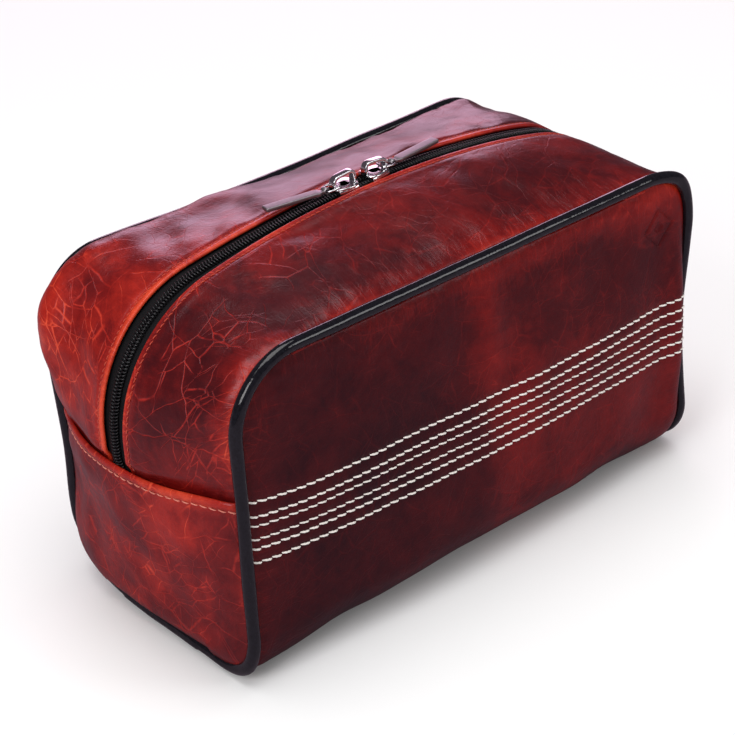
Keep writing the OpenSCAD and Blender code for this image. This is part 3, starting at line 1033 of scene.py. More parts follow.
@dataclass(frozen=True)
class Patch:
    """A soft spot of lighter or darker tone, placed by two coordinates of a panel."""

    at: tuple[float, float]
    spread: tuple[float, float]
    amount: float

    def paint(self, a: Array, b: Array) -> Array:
        """Tone that the patch adds: its amount times a Gaussian over both coordinates."""
        off_a, off_b = (a - self.at[0]) / self.spread[0], (b - self.at[1]) / self.spread[1]
        return self.amount * np.exp(-off_a ** 2 - off_b ** 2)


def seam_dive(distance: Array, depth: float, reach: float) -> Array:
    """How far leather lies below its full surface at a distance from a seam.

    It is depth at the seam, and falls to 0 at the reach as a quarter of a circle does.
    """
    t = 1.0 - np.clip(distance / reach, 0.0, 1.0)
    return depth * (1.0 - np.sqrt(np.maximum(1.0 - t * t, 0.0)))


def spot(a: float, b: float, spread_a: float, spread_b: float, amount: float) -> Patch:
    """A patch whose place and spread are given in millimetres."""
    return Patch((a * MM, b * MM), (spread_a * MM, spread_b * MM), amount)


def painted(patches: Sequence[Patch], level: float, a: Array, b: Array) -> Array:
    """An even level plus what every patch adds."""
    return np.full(a.shape, level) + sum(patch.paint(a, b) for patch in patches)


class Leather:
    """A sheet of leather: a base surface, raised and sunk along its normal by a relief."""

    form: BagForm

    def surface(self, a: Array, b: Array) -> Array:
        """Outer surface: the base plus its outward normal times the relief."""
        points = self.base(a, b)
        return points + outward_normals(self.base, a, b) * self.relief(points, a, b)[..., None]

    def sheet(self, name: str, a: Array, b: Array, values: dict[str, Array],
              maps: dict[str, Array]) -> bpy.types.Object:
        """Give the surface its thickness and make its piece.

        Args:
            name: Name of the piece.
            a: First parameter.
            b: Second parameter.
            values: Painted values at each place.
            maps: UV maps at each place.

        Returns:
            The piece.
        """
        loops, faces, source = slab(self.surface(a, b), outward_normals(self.base, a, b), self.form.leather)
        return mesh_object(name, loops, faces, {key: array[:, source] for key, array in values.items()},
                           {key: array[:, source] for key, array in maps.items()})

    def seam(self, thread: Thread, a: Array, b: Array) -> tuple[Array, list[Array]]:
        """Sew a thread along a line of parameters."""
        return thread.sew(self.surface(a, b), outward_normals(self.base, a, b))


@dataclass(frozen=True)
class LongPanel(Leather):
    """The front or the back: one piece of leather from the top piping, round the foot, to the base seam."""

    form: BagForm
    face: Face
    columns: int = 230
    rows: int = 190
    edge: float = 1.7 * MM
    dive: float = 2.4 * MM
    dive_reach: float = 7 * MM
    row_top: float = 84 * MM
    row_span: float = 26 * MM
    row_groove: float = 0.35 * MM
    mark_at: tuple[float, float] = (103 * MM, 121 * MM)
    mark_size: float = 8.5 * MM
    patches: tuple[Patch, ...] = ()
    puffs: tuple[Patch, ...] = ()

    def row_height(self, row: int, s: Array) -> Array:
        """Height of a stitched row at place s along the panel.

        The rows are unevenly spaced at the left end and evenly at the right.

        Args:
            row: Number of the row from the top.
            s: Place along the panel, -1 at the left to 1 at the right.

        Returns:
            Z of the row.
        """
        left = (0.0, 0.25, 0.4, 0.62, 0.775, 1.0)[row]
        share = left + (row / 5.0 - left) * (s + 1.0) / 2.0
        return self.row_top - self.row_span * share

    def wall_step(self, z: Array) -> Array:
        """Step q of the straight wall at height z."""
        top = self.form.height - self.form.corner_r
        return (top - z) / (top - self.form.foot_r)

    def base(self, s: Array, q: Array) -> Array:
        """Points of the panel without its soft detail.

        Step q goes -1 to 0 down the top corners, 0 to 1 down the wall, 1 to 2 round the foot and 2 to 3
        under the base. The wall swells by face swell times (1 - |s|^2.5) times the fullness at its height.

        Args:
            s: Place along the panel, -1 to 1.
            q: Step down the panel.

        Returns:
            Points.
        """
        f = self.form
        r = f.corner_r - self.edge
        top = f.height - f.corner_r
        up = np.clip(-q, 0.0, 1.0) * np.pi / 2.0
        foot = np.clip(q - 1.0, 0.0, 1.0) * np.pi / 2.0
        half = np.where(q < 0.0, f.half_length - f.corner_r + r * np.cos(up), f.half_length - self.edge)
        z = np.where(q < 0.0, top + r * np.sin(up), top + np.clip(q, 0.0, 1.0) * (f.foot_r - top))
        z = np.where(q > 1.0, f.foot_r * (1.0 - np.sin(foot)), z)
        inner = f.half_depth - f.foot_r
        y = inner + f.foot_r * np.cos(foot)
        y = np.where(q > 2.0, inner * (3.0 - q) + 0.15 * MM * (q - 2.0), y)
        fade = np.where(q > 2.0, 0.0, 1.0)
        y = y + f.face_swell * (1.0 - np.abs(s) ** 2.5) * f.fullness(z) * fade
        return np.stack([s * half, self.face.value * y, z], -1)

    def seam_distance(self, points: Array, q: Array) -> Array:
        """Distance from the piping seam round the sides and the top of the panel."""
        f = self.form
        side = f.half_length - np.abs(points[..., 0])
        top = f.height - points[..., 2]
        in_x = np.abs(points[..., 0]) - (f.half_length - f.corner_r)
        in_z = points[..., 2] - (f.height - f.corner_r)
        corner = f.corner_r - np.hypot(in_x, in_z)
        around = np.where((in_x > 0.0) & (in_z > 0.0), corner, np.minimum(side, top))
        return np.where(q > 1.5, side, around) - self.edge

    def relief(self, points: Array, s: Array, q: Array) -> Array:
        """Height of the soft detail: seam dive, stitched grooves, slack dents and the pressed mark."""
        distance = self.seam_distance(points, q)
        height = -seam_dive(distance, self.dive, self.dive_reach)
        calm = smooth(distance / (14 * MM)) * np.where(q > 1.7, 0.0, 1.0)
        height = height + calm * (Ripple(11 + self.face.value, 85 * MM).at(points) * 0.9 * MM
                                  + Ripple(21 + self.face.value, 34 * MM).at(points) * 0.34 * MM)
        pull = np.stack([points[..., 0] / 4.0, points[..., 2] * 0.35, points[..., 1] * 0.3], -1)
        near_top = bell(self.form.height - points[..., 2], 24 * MM) * smooth(distance / (5 * MM))
        height = height + near_top * Ripple(31 + self.face.value, 1.5 * MM).at(pull) * 0.13 * MM
        height = height + painted(self.puffs, 0.0, points[..., 0], points[..., 2]) * smooth(2.0 - q)
        base_seam = bell(points[..., 1], 2.2 * MM) * np.where(q > 2.0, 1.0, 0.0)
        height = height - 1.1 * MM * base_seam
        if self.face is Face.FRONT:
            for row in range(6):
                off = points[..., 2] - self.row_height(row, s)
                height = height - self.row_groove * bell(off, 1.15 * MM) * np.where(q > 1.0, 0.0, 1.0)
            height = height - self.mark_depth(points) * np.where(q > 1.0, 0.0, 1.0)
        return height

    def mark_depth(self, points: Array) -> Array:
        """Depth of the pressed mark: a plain lozenge frame with a small lozenge inside it."""
        off_x = np.abs(points[..., 0] - self.mark_at[0])
        off_z = np.abs(points[..., 2] - self.mark_at[1])
        size = off_x + off_z
        frame_line = bell(size - self.mark_size, 0.75 * MM)
        middle = smooth((self.mark_size * 0.38 - size) / (1.0 * MM))
        return 0.7 * MM * np.maximum(frame_line, middle)

    def spaced(self, low: float, high: float, count: int, focus: float, width: float, gain: float) -> Array:
        """Values from low to high that crowd together about a focus.

        Args:
            low: First value.
            high: Last value.
            count: How many.
            focus: Where they crowd.
            width: How wide the crowd is.
            gain: How much denser it is than the rest.

        Returns:
            The values.
        """
        fine = np.linspace(low, high, 4000)
        density = 1.0 + gain * smooth((width - np.abs(fine - focus)) / (0.3 * width) + 1.0)
        total = np.concatenate([[0.0], np.cumsum((density[1:] + density[:-1]) / 2.0)])
        return np.interp(np.linspace(0.0, total[-1], count), total, fine)

    def build(self) -> bpy.types.Object:
        """Build the leather of this side.

        Returns:
            The piece.
        """
        f = self.form
        mark_s = self.mark_at[0] / f.half_length
        crowd = self.mark_size * 1.25
        columns = self.spaced(-1.0, 1.0, self.columns, mark_s, crowd / f.half_length, 1.6)
        fine = np.linspace(-1.0, 3.0, 6000)
        line = self.base(np.zeros_like(fine), fine)
        lengths = np.concatenate([[0.0], np.cumsum(np.linalg.norm(np.diff(line, axis=0), axis=1))])
        mark_length = float(np.interp(self.wall_step(self.mark_at[1]), fine, lengths))
        rows = np.interp(self.spaced(0.0, lengths[-1], self.rows, mark_length, crowd, 1.6), lengths, fine)
        q, s = np.meshgrid(rows, columns, indexing="ij")
        rest = self.base(s, q)
        x, z = rest[..., 0], rest[..., 2]
        distance = np.maximum(self.seam_distance(rest, q), 0.0)
        along = np.where((np.abs(x) > f.half_length - distance - 2 * MM) | (q > 1.5), z, x)
        values = {"tone": painted(self.patches, 0.2, x, z), "crease": np.ones(q.shape),
                  "wear": 0.6 * bell(distance, 1.8 * MM) + 0.16 * bell(distance, 8 * MM)}
        maps = {"seam": np.stack([along, distance], -1),
                "flat": np.stack([x, np.interp(q, fine, lengths)], -1)}
        side = self.face.name.lower()
        piece = self.sheet(f"{side}_panel_leather", s, q, values, maps)
        return settle_in(piece, FRONT_HIDE, [f"{side}_panel"])

    def sew_rows(self, thread: Thread) -> bpy.types.Object:
        """Sew the six pale rows across the panel.

        Args:
            thread: The thread.

        Returns:
            The piece.
        """
        parts = []
        for row in range(6):
            s = np.linspace(-0.992, 0.992, 700)
            q = self.wall_step(self.row_height(row, s))
            scale = 0.84 if row in (2, 3) else 1.0
            own = replace(thread, radius=thread.radius * scale, seed=40 + row)
            parts.append(self.seam(own, s, q))
        points, groups = join(parts)
        piece = mesh_object("stitched_rows", points, groups)
        return settle_in(piece, CREAM_THREAD, ["stitch_rows"])


@dataclass(frozen=True)
class GussetStrip(Leather):
    """One strip of leather beside the zip: over the top and down both ends, in one piece."""

    form: BagForm
    face: Face
    steps: int = 400
    columns: int = 66
    edge: float = 1.7 * MM
    dive: float = 2.3 * MM
    dive_reach: float = 6 * MM
    stitch_inset: float = 1.9 * MM
    tuck: float = 2.2 * MM
    end_gap: float = 1.7 * MM
    waves: float = 0.16 * MM
    patches: tuple[Patch, ...] = ()
    creased: tuple[Patch, ...] = ()
    puffs: tuple[Patch, ...] = ()

    def base(self, u: Array, v: Array) -> Array:
        """Points of the strip, where v is the distance from the piping line towards the zip."""
        return self.form.gusset(u, self.face.value * (self.form.half_depth - v))

    def reach(self, u: Array) -> Array:
        """Distance from the piping line to the leather's edge by the zip, a little less down the ends."""
        return self.form.half_depth - self.form.zip_gap_half - self.end_gap * smooth((np.abs(u) - 0.5) / 0.9)

    def relief(self, points: Array, u: Array, v: Array) -> Array:
        """Height of the soft detail: seam dive, turned edge, stitched groove, folds and dents."""
        f = self.form
        width = self.reach(u)
        from_seam, from_zip = v - self.edge, width - v
        along = f.along_gusset(u)
        seed = 50 if self.face is Face.FRONT else 70
        height = -seam_dive(from_seam, self.dive, self.dive_reach)
        height = height + 0.35 * MM * bell(from_zip - 0.7 * MM, 1.0 * MM)
        height = height - 0.42 * MM * bell(from_zip - self.stitch_inset, 0.8 * MM)
        height = height + 0.25 * MM * bell(from_zip - 4.2 * MM, 1.8 * MM)
        calm = smooth(from_seam / (9 * MM)) * smooth(from_zip / (9 * MM))
        flat = np.stack([along, v], -1)
        height = height + calm * (Ripple(seed, 62 * MM).at(flat) * 0.8 * MM
                                  + Ripple(seed + 1, 21 * MM).at(flat) * 0.16 * MM)
        pull = np.stack([along, v * 0.22], -1)
        gather = bell(from_seam, 15 * MM) * smooth(from_seam / (2.5 * MM))
        height = height + gather * Ripple(seed + 2, 6.5 * MM).at(pull) * 0.11 * MM
        waves = np.stack([along + 0.5 * v, v * 0.45], -1)
        height = height + calm * self.waves * Ripple(seed + 3, 19 * MM).at(waves)
        bend = bell(np.abs(u) - 1.45, 0.5)
        buckle = np.stack([along * 0.4, v], -1)
        height = height + bend * calm * Ripple(seed + 4, 17 * MM).at(buckle) * 0.22 * MM
        height = height + painted(self.puffs, 0.0, along, v)
        under = smooth((np.abs(u) - 2.55) / 0.42)
        return height - self.tuck * under

    def build(self) -> bpy.types.Object:
        """Build the strip.

        Returns:
            The piece.
        """
        f = self.form
        u, t = np.meshgrid(f.even_steps(self.steps, 3.12), np.linspace(0.0, 1.0, self.columns), indexing="ij")
        width = self.reach(u)
        v = self.edge + (width - self.edge) * (t + 0.048 * np.sin(2.0 * np.pi * t))
        from_seam, from_zip = v - self.edge, width - v
        wear = (0.5 * bell(from_zip, 1.5 * MM) + 0.3 * bell(from_zip, 4 * MM)
                + 0.5 * bell(from_seam, 1.8 * MM) + 0.36 * bell(from_seam, 6 * MM))
        along = f.along_gusset(u)
        values = {"tone": painted(self.patches, 0.30, along, v), "wear": wear,
                  "crease": painted(self.creased, 0.3, along, v)}
        maps = {"seam": np.stack([along, np.minimum(from_seam, from_zip * 1.6)], -1),
                "flat": np.stack([along, v], -1)}
        side = self.face.name.lower()
        piece = self.sheet(f"gusset_{side}", u, v, values, maps)
        follow_opening(piece)
        nodes = [f"top_strip_{side}", f"shoulder_{side}_left", f"shoulder_{side}_right"]
        return settle_in(piece, TOP_HIDE, nodes, None)

    def sew_edge(self, thread: Thread) -> bpy.types.Object:
        """Sew the line beside the zip.

        Args:
            thread: The thread.

        Returns:
            The piece.
        """
        f = self.form
        u = f.even_steps(1400, 2.93)
        v = self.reach(u) - self.stitch_inset
        side = self.face.name.lower()
        piece = mesh_object(f"zip_edge_stitches_{side}", *self.seam(thread, u, v))
        follow_opening(piece)
        return settle_in(piece, RED_THREAD, zip_nodes("zip_stitching", self.face), None)


@dataclass(frozen=True)
class EndPanel(Leather):
    """The lower end: leather with a turned and stitched upper edge that covers the end of the zip."""

    form: BagForm
    end: End
    columns: int = 116
    rows: int = 92
    edge: float = 1.7 * MM
    dive: float = 2.6 * MM
    dive_reach: float = 7 * MM
    hem_lift: float = 0.75 * MM
    stitch_inset: float = 3.2 * MM
    patches: tuple[Patch, ...] = ()
    puffs: tuple[Patch, ...] = ()

    def base(self, s: Array, q: Array) -> Array:
        """Points of the end.

        s runs from front to back, -1 to 1, and q from the hem, 0 to 1 down the wall and 1 to 2 round the
        foot. The end swells by end swell times (1 - (y / half depth)^2) times 1 - (1 - z / seam height)^2.5.

        Args:
            s: Place across the end.
            q: Step down the end.

        Returns:
            Points.
        """
        f = self.form
        low = f.piping_r + self.edge * 0.6
        foot = np.clip(q - 1.0, 0.0, 1.0) * np.pi / 2.0
        half = f.half_depth - f.foot_r + (f.foot_r - self.edge) * np.cos(foot)
        z = f.seam_height + np.clip(q, -1.0, 1.0) * (f.foot_r - f.seam_height)
        z = np.where(q > 1.0, f.foot_r - (f.foot_r - low) * np.sin(foot), z)
        y = s * half
        full = 1.0 - (1.0 - np.clip(z / f.seam_height, 0.0, 1.0)) ** 2.5
        x = f.half_length + f.end_swell * (1.0 - (y / f.half_depth) ** 2) * full
        return np.stack([self.end.value * x, y, z], -1)

    def seam_distance(self, points: Array) -> Array:
        """Distance from the piping at the sides and the bottom of the end."""
        f = self.form
        side = f.half_depth - np.abs(points[..., 1])
        bottom = points[..., 2] - f.piping_r
        in_y = np.abs(points[..., 1]) - (f.half_depth - f.foot_r)
        in_z = f.foot_r - points[..., 2]
        corner = f.foot_r - np.hypot(in_y, in_z)
        return np.where((in_y > 0.0) & (in_z > 0.0), corner, np.minimum(side, bottom)) - self.edge

    def relief(self, points: Array, s: Array, q: Array) -> Array:
        """Height of the soft detail: seam dive, raised hem, stitched groove and dents."""
        f = self.form
        distance = self.seam_distance(points)
        down = f.seam_height - points[..., 2]
        seed = 90 + self.end.value
        height = -seam_dive(distance, self.dive, self.dive_reach)
        hem = bell(down - 1.0 * MM, 2.0 * MM) - 0.55 * bell(down - self.stitch_inset, 0.8 * MM)
        height = height + self.hem_lift * hem * smooth(distance / (3 * MM))
        calm = smooth(distance / (12 * MM)) * smooth(down / (12 * MM))
        height = height + calm * (Ripple(seed, 52 * MM).at(points) * 1.1 * MM
                                  + Ripple(seed + 4, 22 * MM).at(points) * 0.3 * MM)
        return height + painted(self.puffs, 0.0, points[..., 1], points[..., 2])

    def build(self) -> bpy.types.Object:
        """Build the panel.

        Returns:
            The piece.
        """
        f = self.form
        t = np.linspace(0.0, 1.0, self.rows)
        fine = np.linspace(0.0, 2.0, 3000)
        line = self.base(np.zeros_like(fine), fine)
        lengths = np.concatenate([[0.0], np.cumsum(np.linalg.norm(np.diff(line, axis=0), axis=1))])
        q_values = np.interp((t + 0.35 * (t * t - t)) * lengths[-1], lengths, fine)
        s, q = np.meshgrid(np.linspace(-1.0, 1.0, self.columns), q_values, indexing="ij")
        rest = self.base(s, q)
        y, z = rest[..., 1], rest[..., 2]
        distance = np.maximum(self.seam_distance(rest), 0.0)
        down = f.seam_height - z
        wear = 0.36 * bell(down, 3.4 * MM) + 0.22 * bell(down, 7 * MM) + 0.3 * bell(distance, 3.0 * MM)
        values = {"tone": painted(self.patches, 0.44, y, z), "wear": wear, "crease": np.ones(s.shape)}
        maps = {"seam": np.stack([y + z, np.minimum(distance, down)], -1), "flat": rest[..., 1:]}
        side = self.end.name.lower()
        piece = self.sheet(f"end_panel_{side}_leather", s, q, values, maps)
        return settle_in(piece, END_HIDE, [f"end_panel_{side}"])

    def sew_hem(self, thread: Thread) -> bpy.types.Object:
        """Sew the line along the hem.

        Args:
            thread: The thread.

        Returns:
            The piece.
        """
        s = np.linspace(-0.985, 0.985, 500)
        q = np.full_like(s, self.stitch_inset / (self.form.seam_height - self.form.foot_r))
        side = self.end.name.lower()
        piece = mesh_object(f"hem_stitches_{side}", *self.seam(thread, s, q))
        return settle_in(piece, HEM_THREAD, [f"hem_stitching_{side}"])


# ------------ piping


@dataclass(frozen=True)
class Piping:
    """The black binding round the front, the ends and the back, in one closed loop."""

    form: BagForm
    spacing: float = 1.6 * MM
    sides: int = 20
    floor_gap: float = 0.3 * MM
    join_half: float = 26 * MM
    join_swell: float = 0.4 * MM

    def quarter(self, x_sign: float, y_sign: float) -> Array:
        """Points from the middle of a top edge, down a corner, to the middle of an end's lower edge.

        Args:
            x_sign: -1 for the left, 1 for the right.
            y_sign: -1 for the front, 1 for the back.

        Returns:
            Points of straight runs and two quarter circles.
        """
        f = self.form
        low = f.piping_r + self.floor_gap
        turn = np.linspace(0.0, np.pi / 2.0, 30)[:, None]
        straight = f.half_length - f.corner_r
        top = np.array([[0.0, f.half_depth, f.height], [straight, f.half_depth, f.height]])
        corner = np.concatenate([straight + f.corner_r * np.sin(turn), np.full_like(turn, f.half_depth),
                                 f.height - f.corner_r * (1.0 - np.cos(turn))], axis=1)
        foot = np.concatenate([np.full_like(turn, f.half_length),
                               f.half_depth - f.foot_r * (1.0 - np.cos(turn)),
                               f.foot_r - (f.foot_r - low) * np.sin(turn)], axis=1)
        end = np.array([[f.half_length, 0.0, low]])
        line = np.concatenate([top[:1], corner, foot, end])
        return line * np.array([x_sign, y_sign, 1.0])

    def line(self) -> Array:
        """The whole closed line, evenly spaced."""
        whole = np.concatenate([self.quarter(-1, -1), self.quarter(-1, 1)[::-1][1:], self.quarter(1, 1)[1:],
                                self.quarter(1, -1)[::-1][1:]])
        total = line_length(whole)
        return walk(whole, np.linspace(0.0, total, int(total / self.spacing), endpoint=False))

    def build(self) -> bpy.types.Object:
        """Build the binding, thicker where its ends overlap under the left end.

        Returns:
            The piece.
        """
        path = self.line()
        path = path + 0.12 * MM * np.stack([Ripple(5 + k, 45 * MM).at(path) for k in range(3)], -1)
        at_end = smooth((-path[:, 0] - self.form.half_length + 4 * MM) / (2 * MM))
        at_end = at_end * smooth((12 * MM - path[:, 2]) / (2 * MM))
        overlap = at_end * smooth((self.join_half - np.abs(path[:, 1])) / (1.2 * MM))
        radius = self.form.piping_r - 0.2 * MM + Ripple(9, 30 * MM).at(path) * 0.07 * MM
        base = circle(1.0, self.sides)
        sections = base[None] * (radius + overlap * self.join_swell)[:, None, None]
        points, groups = sweep(path, sections, closed=True)
        piece = mesh_object("piping_binding", points, groups)
        return settle_in(piece, PATENT, ["piping_cover"])

    def cord(self) -> bpy.types.Object:
        """Build the cord inside the binding: three strands laid round each other.

        The strands show as three lobes in the section, which turn once every 9 mm.

        Returns:
            The piece.
        """
        path = self.line()
        turn = turns(18)
        twist = 2.0 * np.pi * np.arange(len(path)) / round(9 * MM / self.spacing)
        radius = 1.55 * MM * (1.0 + 0.10 * np.cos(3.0 * (turn - twist[:, None])))
        sections = np.stack([radius * np.cos(turn), radius * np.sin(turn)], -1)
        points, groups = sweep(path, sections, closed=True)
        piece = mesh_object("piping_cord_laid", points, groups)
        return settle_in(piece, CORD, ["piping_cord"])


# ------------ zip


@dataclass(frozen=True)
class Zip:
    """The zip's tapes and coils."""

    form: BagForm
    tape_width: float = 14 * MM
    tape_inner: float = 0.9 * MM
    tape_depth: float = 2.15 * MM
    tape_thickness: float = 0.6 * MM
    pitch: float = 1.42 * MM
    coil_half: float = 1.08 * MM
    coil_high: float = 0.72 * MM
    wire: float = 0.34 * MM
    coil_depth: float = 1.2 * MM
    coil_meet: float = 0.1 * MM
    meet_x: float = -8 * MM
    coil_parted: float = 1.05 * MM
    parted_half: float = 7.5 * MM
    closing_run: float = 5 * MM
    turn_points: int = 11

    def tape(self, face: Face) -> bpy.types.Object:
        """Build one tape, which dips where it passes under the leather.

        Args:
            face: Which side of the zip it is on.

        Returns:
            The piece.
        """
        f = self.form
        rows = f.even_steps(330, 3.12)
        across = np.linspace(self.tape_inner, self.tape_inner + self.tape_width, 15)
        u, v = np.meshgrid(rows, across, indexing="ij")
        ribs = 0.05 * MM * np.sin(v * 2.0 * np.pi / (1.6 * MM))
        depth = self.tape_depth + 0.35 * MM * smooth((v - 4 * MM) / (4 * MM)) + ribs
        depth = depth + 0.9 * MM * smooth((np.abs(u) - 2.6) / 0.4)

        def shape(a: Array, b: Array) -> Array:
            """Tape surface without its ribs."""
            return f.gusset(a, face.value * b, self.tape_depth)

        points = f.gusset(u, face.value * v, depth)
        loops, faces, _ = slab(points, outward_normals(shape, u, v), self.tape_thickness, arc=2)
        side = face.name.lower()
        piece = mesh_object(f"zip_tape_{side}_woven", loops, faces)
        follow_opening(piece)
        return settle_in(piece, TAPE, zip_nodes("zip_tape", face), None)

    def coil(self, face: Face) -> bpy.types.Object:
        """Build one coil as a single wound wire.

        Its centre line turns once a pitch round an oval: across it by the coil's half width times the
        cosine, and up by its height times the sine, with the cosine squared off a little so that the
        loops lie side by side. The two coils are half a pitch apart, and stand apart between the sliders.

        Args:
            face: Which side of the zip it is on.

        Returns:
            The piece.
        """
        f = self.form
        limit = 3.02
        half = self.zip_half_length(limit)
        turns = int(2.0 * half / self.pitch)
        count = turns * self.turn_points
        places = np.linspace(-half, half, count)
        u = self.steps_at(places, limit)
        phase = 2.0 * np.pi * np.arange(count) / self.turn_points + (np.pi if face is Face.BACK else 0.0)
        middle = f.gusset(u, np.zeros_like(u))
        t = np.clip((np.abs(middle[:, 0] - self.meet_x) - self.parted_half) / self.closing_run, 0.0, 1.0)
        parted = self.coil_parted + (self.coil_meet - self.coil_parted) * t
        parted = np.where(middle[:, 2] > f.height, parted, self.coil_meet)
        cosine = np.cos(phase)
        across = parted + self.coil_half * (1.0 - np.sign(cosine) * np.abs(cosine) ** 0.8)
        depth = self.coil_depth - self.coil_high * np.sin(phase)
        depth = depth + 0.9 * MM * smooth((np.abs(u) - 2.6) / 0.4)
        path = f.gusset(u, face.value * across, depth)
        points, groups = sweep(path, circle(self.wire, 5))
        side = face.name.lower()
        piece = mesh_object(f"zip_coil_{side}_wound", points, groups)
        follow_opening(piece)
        return settle_in(piece, NYLON, zip_nodes("zip_coil", face), None)

    def zip_line(self, limit: float) -> tuple[Array, Array]:
        """Steps and lengths along one half of the zip line."""
        steps = np.linspace(0.0, limit, 2400)
        line = self.form.gusset(steps, np.zeros_like(steps))
        return steps, np.concatenate([[0.0], np.cumsum(np.linalg.norm(np.diff(line, axis=0), axis=1))])

    def zip_half_length(self, limit: float) -> float:
        """Length of the zip from the middle of the top to a step."""
        return float(self.zip_line(limit)[1][-1])

    def steps_at(self, places: Array, limit: float) -> Array:
        """Steps at given lengths along the zip from the middle of the top."""
        steps, lengths = self.zip_line(limit)
        return np.sign(places) * np.interp(np.abs(places), lengths, steps)


@dataclass(frozen=True)
class ZipPull:
    """A slider, its link and its tab, drawn with the tail along +X and Z from the leather's surface."""

    form: BagForm
    end: End
    slider_x: float = 8.5 * MM
    meet_x: float = -8 * MM
    half_x: float = 6.0 * MM
    half_y: float = 4.85 * MM
    plate_low: float = 0.35 * MM
    plate_top: float = 1.6 * MM
    link_pivot: tuple[float, float] = (3.1 * MM, 2.6 * MM)
    link_length: float = 6.3 * MM
    link_tilt: float = np.radians(5.0)
    tab_tilt: float = np.radians(0.0)
    tab_yaw: float = np.radians(7.0)
    tab_length: float = 27.5 * MM
    tab_width: float = 4.4 * MM
    tab_thickness: float = 1.7 * MM

    def to_bag(self, points: Array) -> Array:
        """Carry points from the slider's own frame to the bag's.

        They are turned about the centre of the zip's long curve until the slider stands at its place, and
        mirrored for the left. The sliders stand evenly about the place where they meet.

        Args:
            points: Points in the slider's frame.

        Returns:
            Points in the bag's frame.
        """
        f = self.form
        meet = self.end.value * np.arcsin(self.meet_x / f.zip_curve_r)
        angle = np.arcsin(self.slider_x / f.zip_curve_r) + meet
        x, y, z = points[..., 0], points[..., 1], points[..., 2] + f.zip_curve_r
        return np.stack([self.end.value * (x * np.cos(angle) + z * np.sin(angle)), y,
                         z * np.cos(angle) - x * np.sin(angle) + f.zip_centre_z], -1)

    def plate(self, low: float, high: float, trim: float, round_r: float) -> tuple[Array, list[Array]]:
        """A plate with a rounded edge: a stack of outlines that shrink towards its two faces.

        The outline is a superellipse of power 3 whose width narrows towards the tail.

        Args:
            low: Z of the lower face.
            high: Z of the upper face.
            trim: How much smaller it is than the slider.
            round_r: Radius of the edge.

        Returns:
            Vertices and faces.
        """
        sides = 48
        outline = squared(turns(sides), 2.0 / 3.0, 2.0 / 3.0)
        x = (self.half_x - trim) * outline[:, 0]
        y = (self.half_y - trim) * outline[:, 1] * self.taper(x)
        arc = np.linspace(0.0, np.pi / 2.0, 5)
        inset = np.concatenate([round_r * (1.0 - np.sin(arc)), round_r * (1.0 - np.cos(arc))])
        height = np.concatenate([low + round_r * (1.0 - np.cos(arc)), high - round_r * (1.0 - np.sin(arc))])
        scale = np.concatenate([[0.4], 1.0 - inset / self.half_y, [0.4]])
        height = np.concatenate([[low], height, [high]])
        scale, height = scale[:, None], height[:, None]
        rings = np.stack([x * scale, y * scale, np.broadcast_to(height, (len(height), sides))], -1)
        cap = np.arange(sides)[None, :]
        return rings, [grid_faces(len(height), sides, wrap_cols=True),
                       np.concatenate([cap[:, ::-1], cap + (len(height) - 1) * sides])]

    def taper(self, x: Array) -> Array:
        """How the slider narrows towards its tail: 1 - 0.14 (x / half length + 0.2)."""
        return 1.0 - 0.14 * (x / self.half_x + 0.2)

    def arch(self, length: float, height: float, power: float, foot: float, count: int = 40) -> Array:
        """Line of an arch along X: half a superellipse, its feet at z = foot and the given length apart."""
        rise = squared(np.linspace(np.pi, 0.0, count), 2.0 / power, 2.0 / power)
        return np.stack([length / 2.0 * rise[:, 0], np.zeros(count), foot + height * np.abs(rise[:, 1])], -1)

    def slider(self) -> bpy.types.Object:
        """Build the slider: two plates, side flanges, the wedge between the plates and the open crown."""
        upper = self.plate(self.plate_low, self.plate_top, 0.0, 0.5 * MM)
        lower = self.plate(-4.4 * MM, -3.25 * MM, 0.4 * MM, 0.35 * MM)
        x = np.linspace(-4.6 * MM, 4.8 * MM, 24)
        flanges = []
        for side in (-1.0, 1.0):
            pinch = 1.0 - 0.16 * np.abs(x / self.half_x) ** 5
            y = side * (self.half_y - 0.45 * MM) * self.taper(x) * pinch
            path = np.stack([x, y, np.full_like(x, -0.35 * MM)], -1)
            section = circle(0.42 * MM, 12) * np.array([1.0, 3.1])
            flanges.append(sweep(path, section, ups=np.broadcast_to([0.0, 0.0, 1.0], path.shape)))
        turn = turns(16)
        wedge_ring = np.stack([-3.2 * MM + 1.5 * MM * np.cos(turn), 0.75 * MM * np.sin(turn), 0.0 * turn], -1)
        heights = np.array([-3.4 * MM, 0.5 * MM])
        wedge = np.stack([wedge_ring + np.array([0.0, 0.0, h]) for h in heights])
        cap = np.arange(16)[None, :]
        wedge_faces = [grid_faces(2, 16, wrap_cols=True), np.concatenate([cap[:, ::-1], cap + 16])]
        path = self.arch(10.8 * MM, 5.2 * MM, 4.6, self.plate_top - 0.5 * MM)
        path[:, 2] -= 0.07 * (path[:, 0] + 5.0 * MM) * smooth((path[:, 2] - self.plate_top) / (2 * MM))
        share = np.linspace(0.0, 1.0, len(path))
        wide = 1.55 * MM + 0.35 * MM * np.abs(2.0 * share - 1.0) ** 3
        turn = turns(28)
        reach = np.stack([wide, np.full_like(wide, 0.75 * MM)], -1)
        sections = squared(turn, 0.36, 0.45)[None] * reach[:, None]
        crown = sweep(path, sections, ups=path - np.array([0.0, 0.0, self.plate_top - 1e-6]))
        points, groups = join([upper, lower, *flanges, (wedge, wedge_faces), crown])
        return self.finish_piece("slider", points, groups, CHROME)

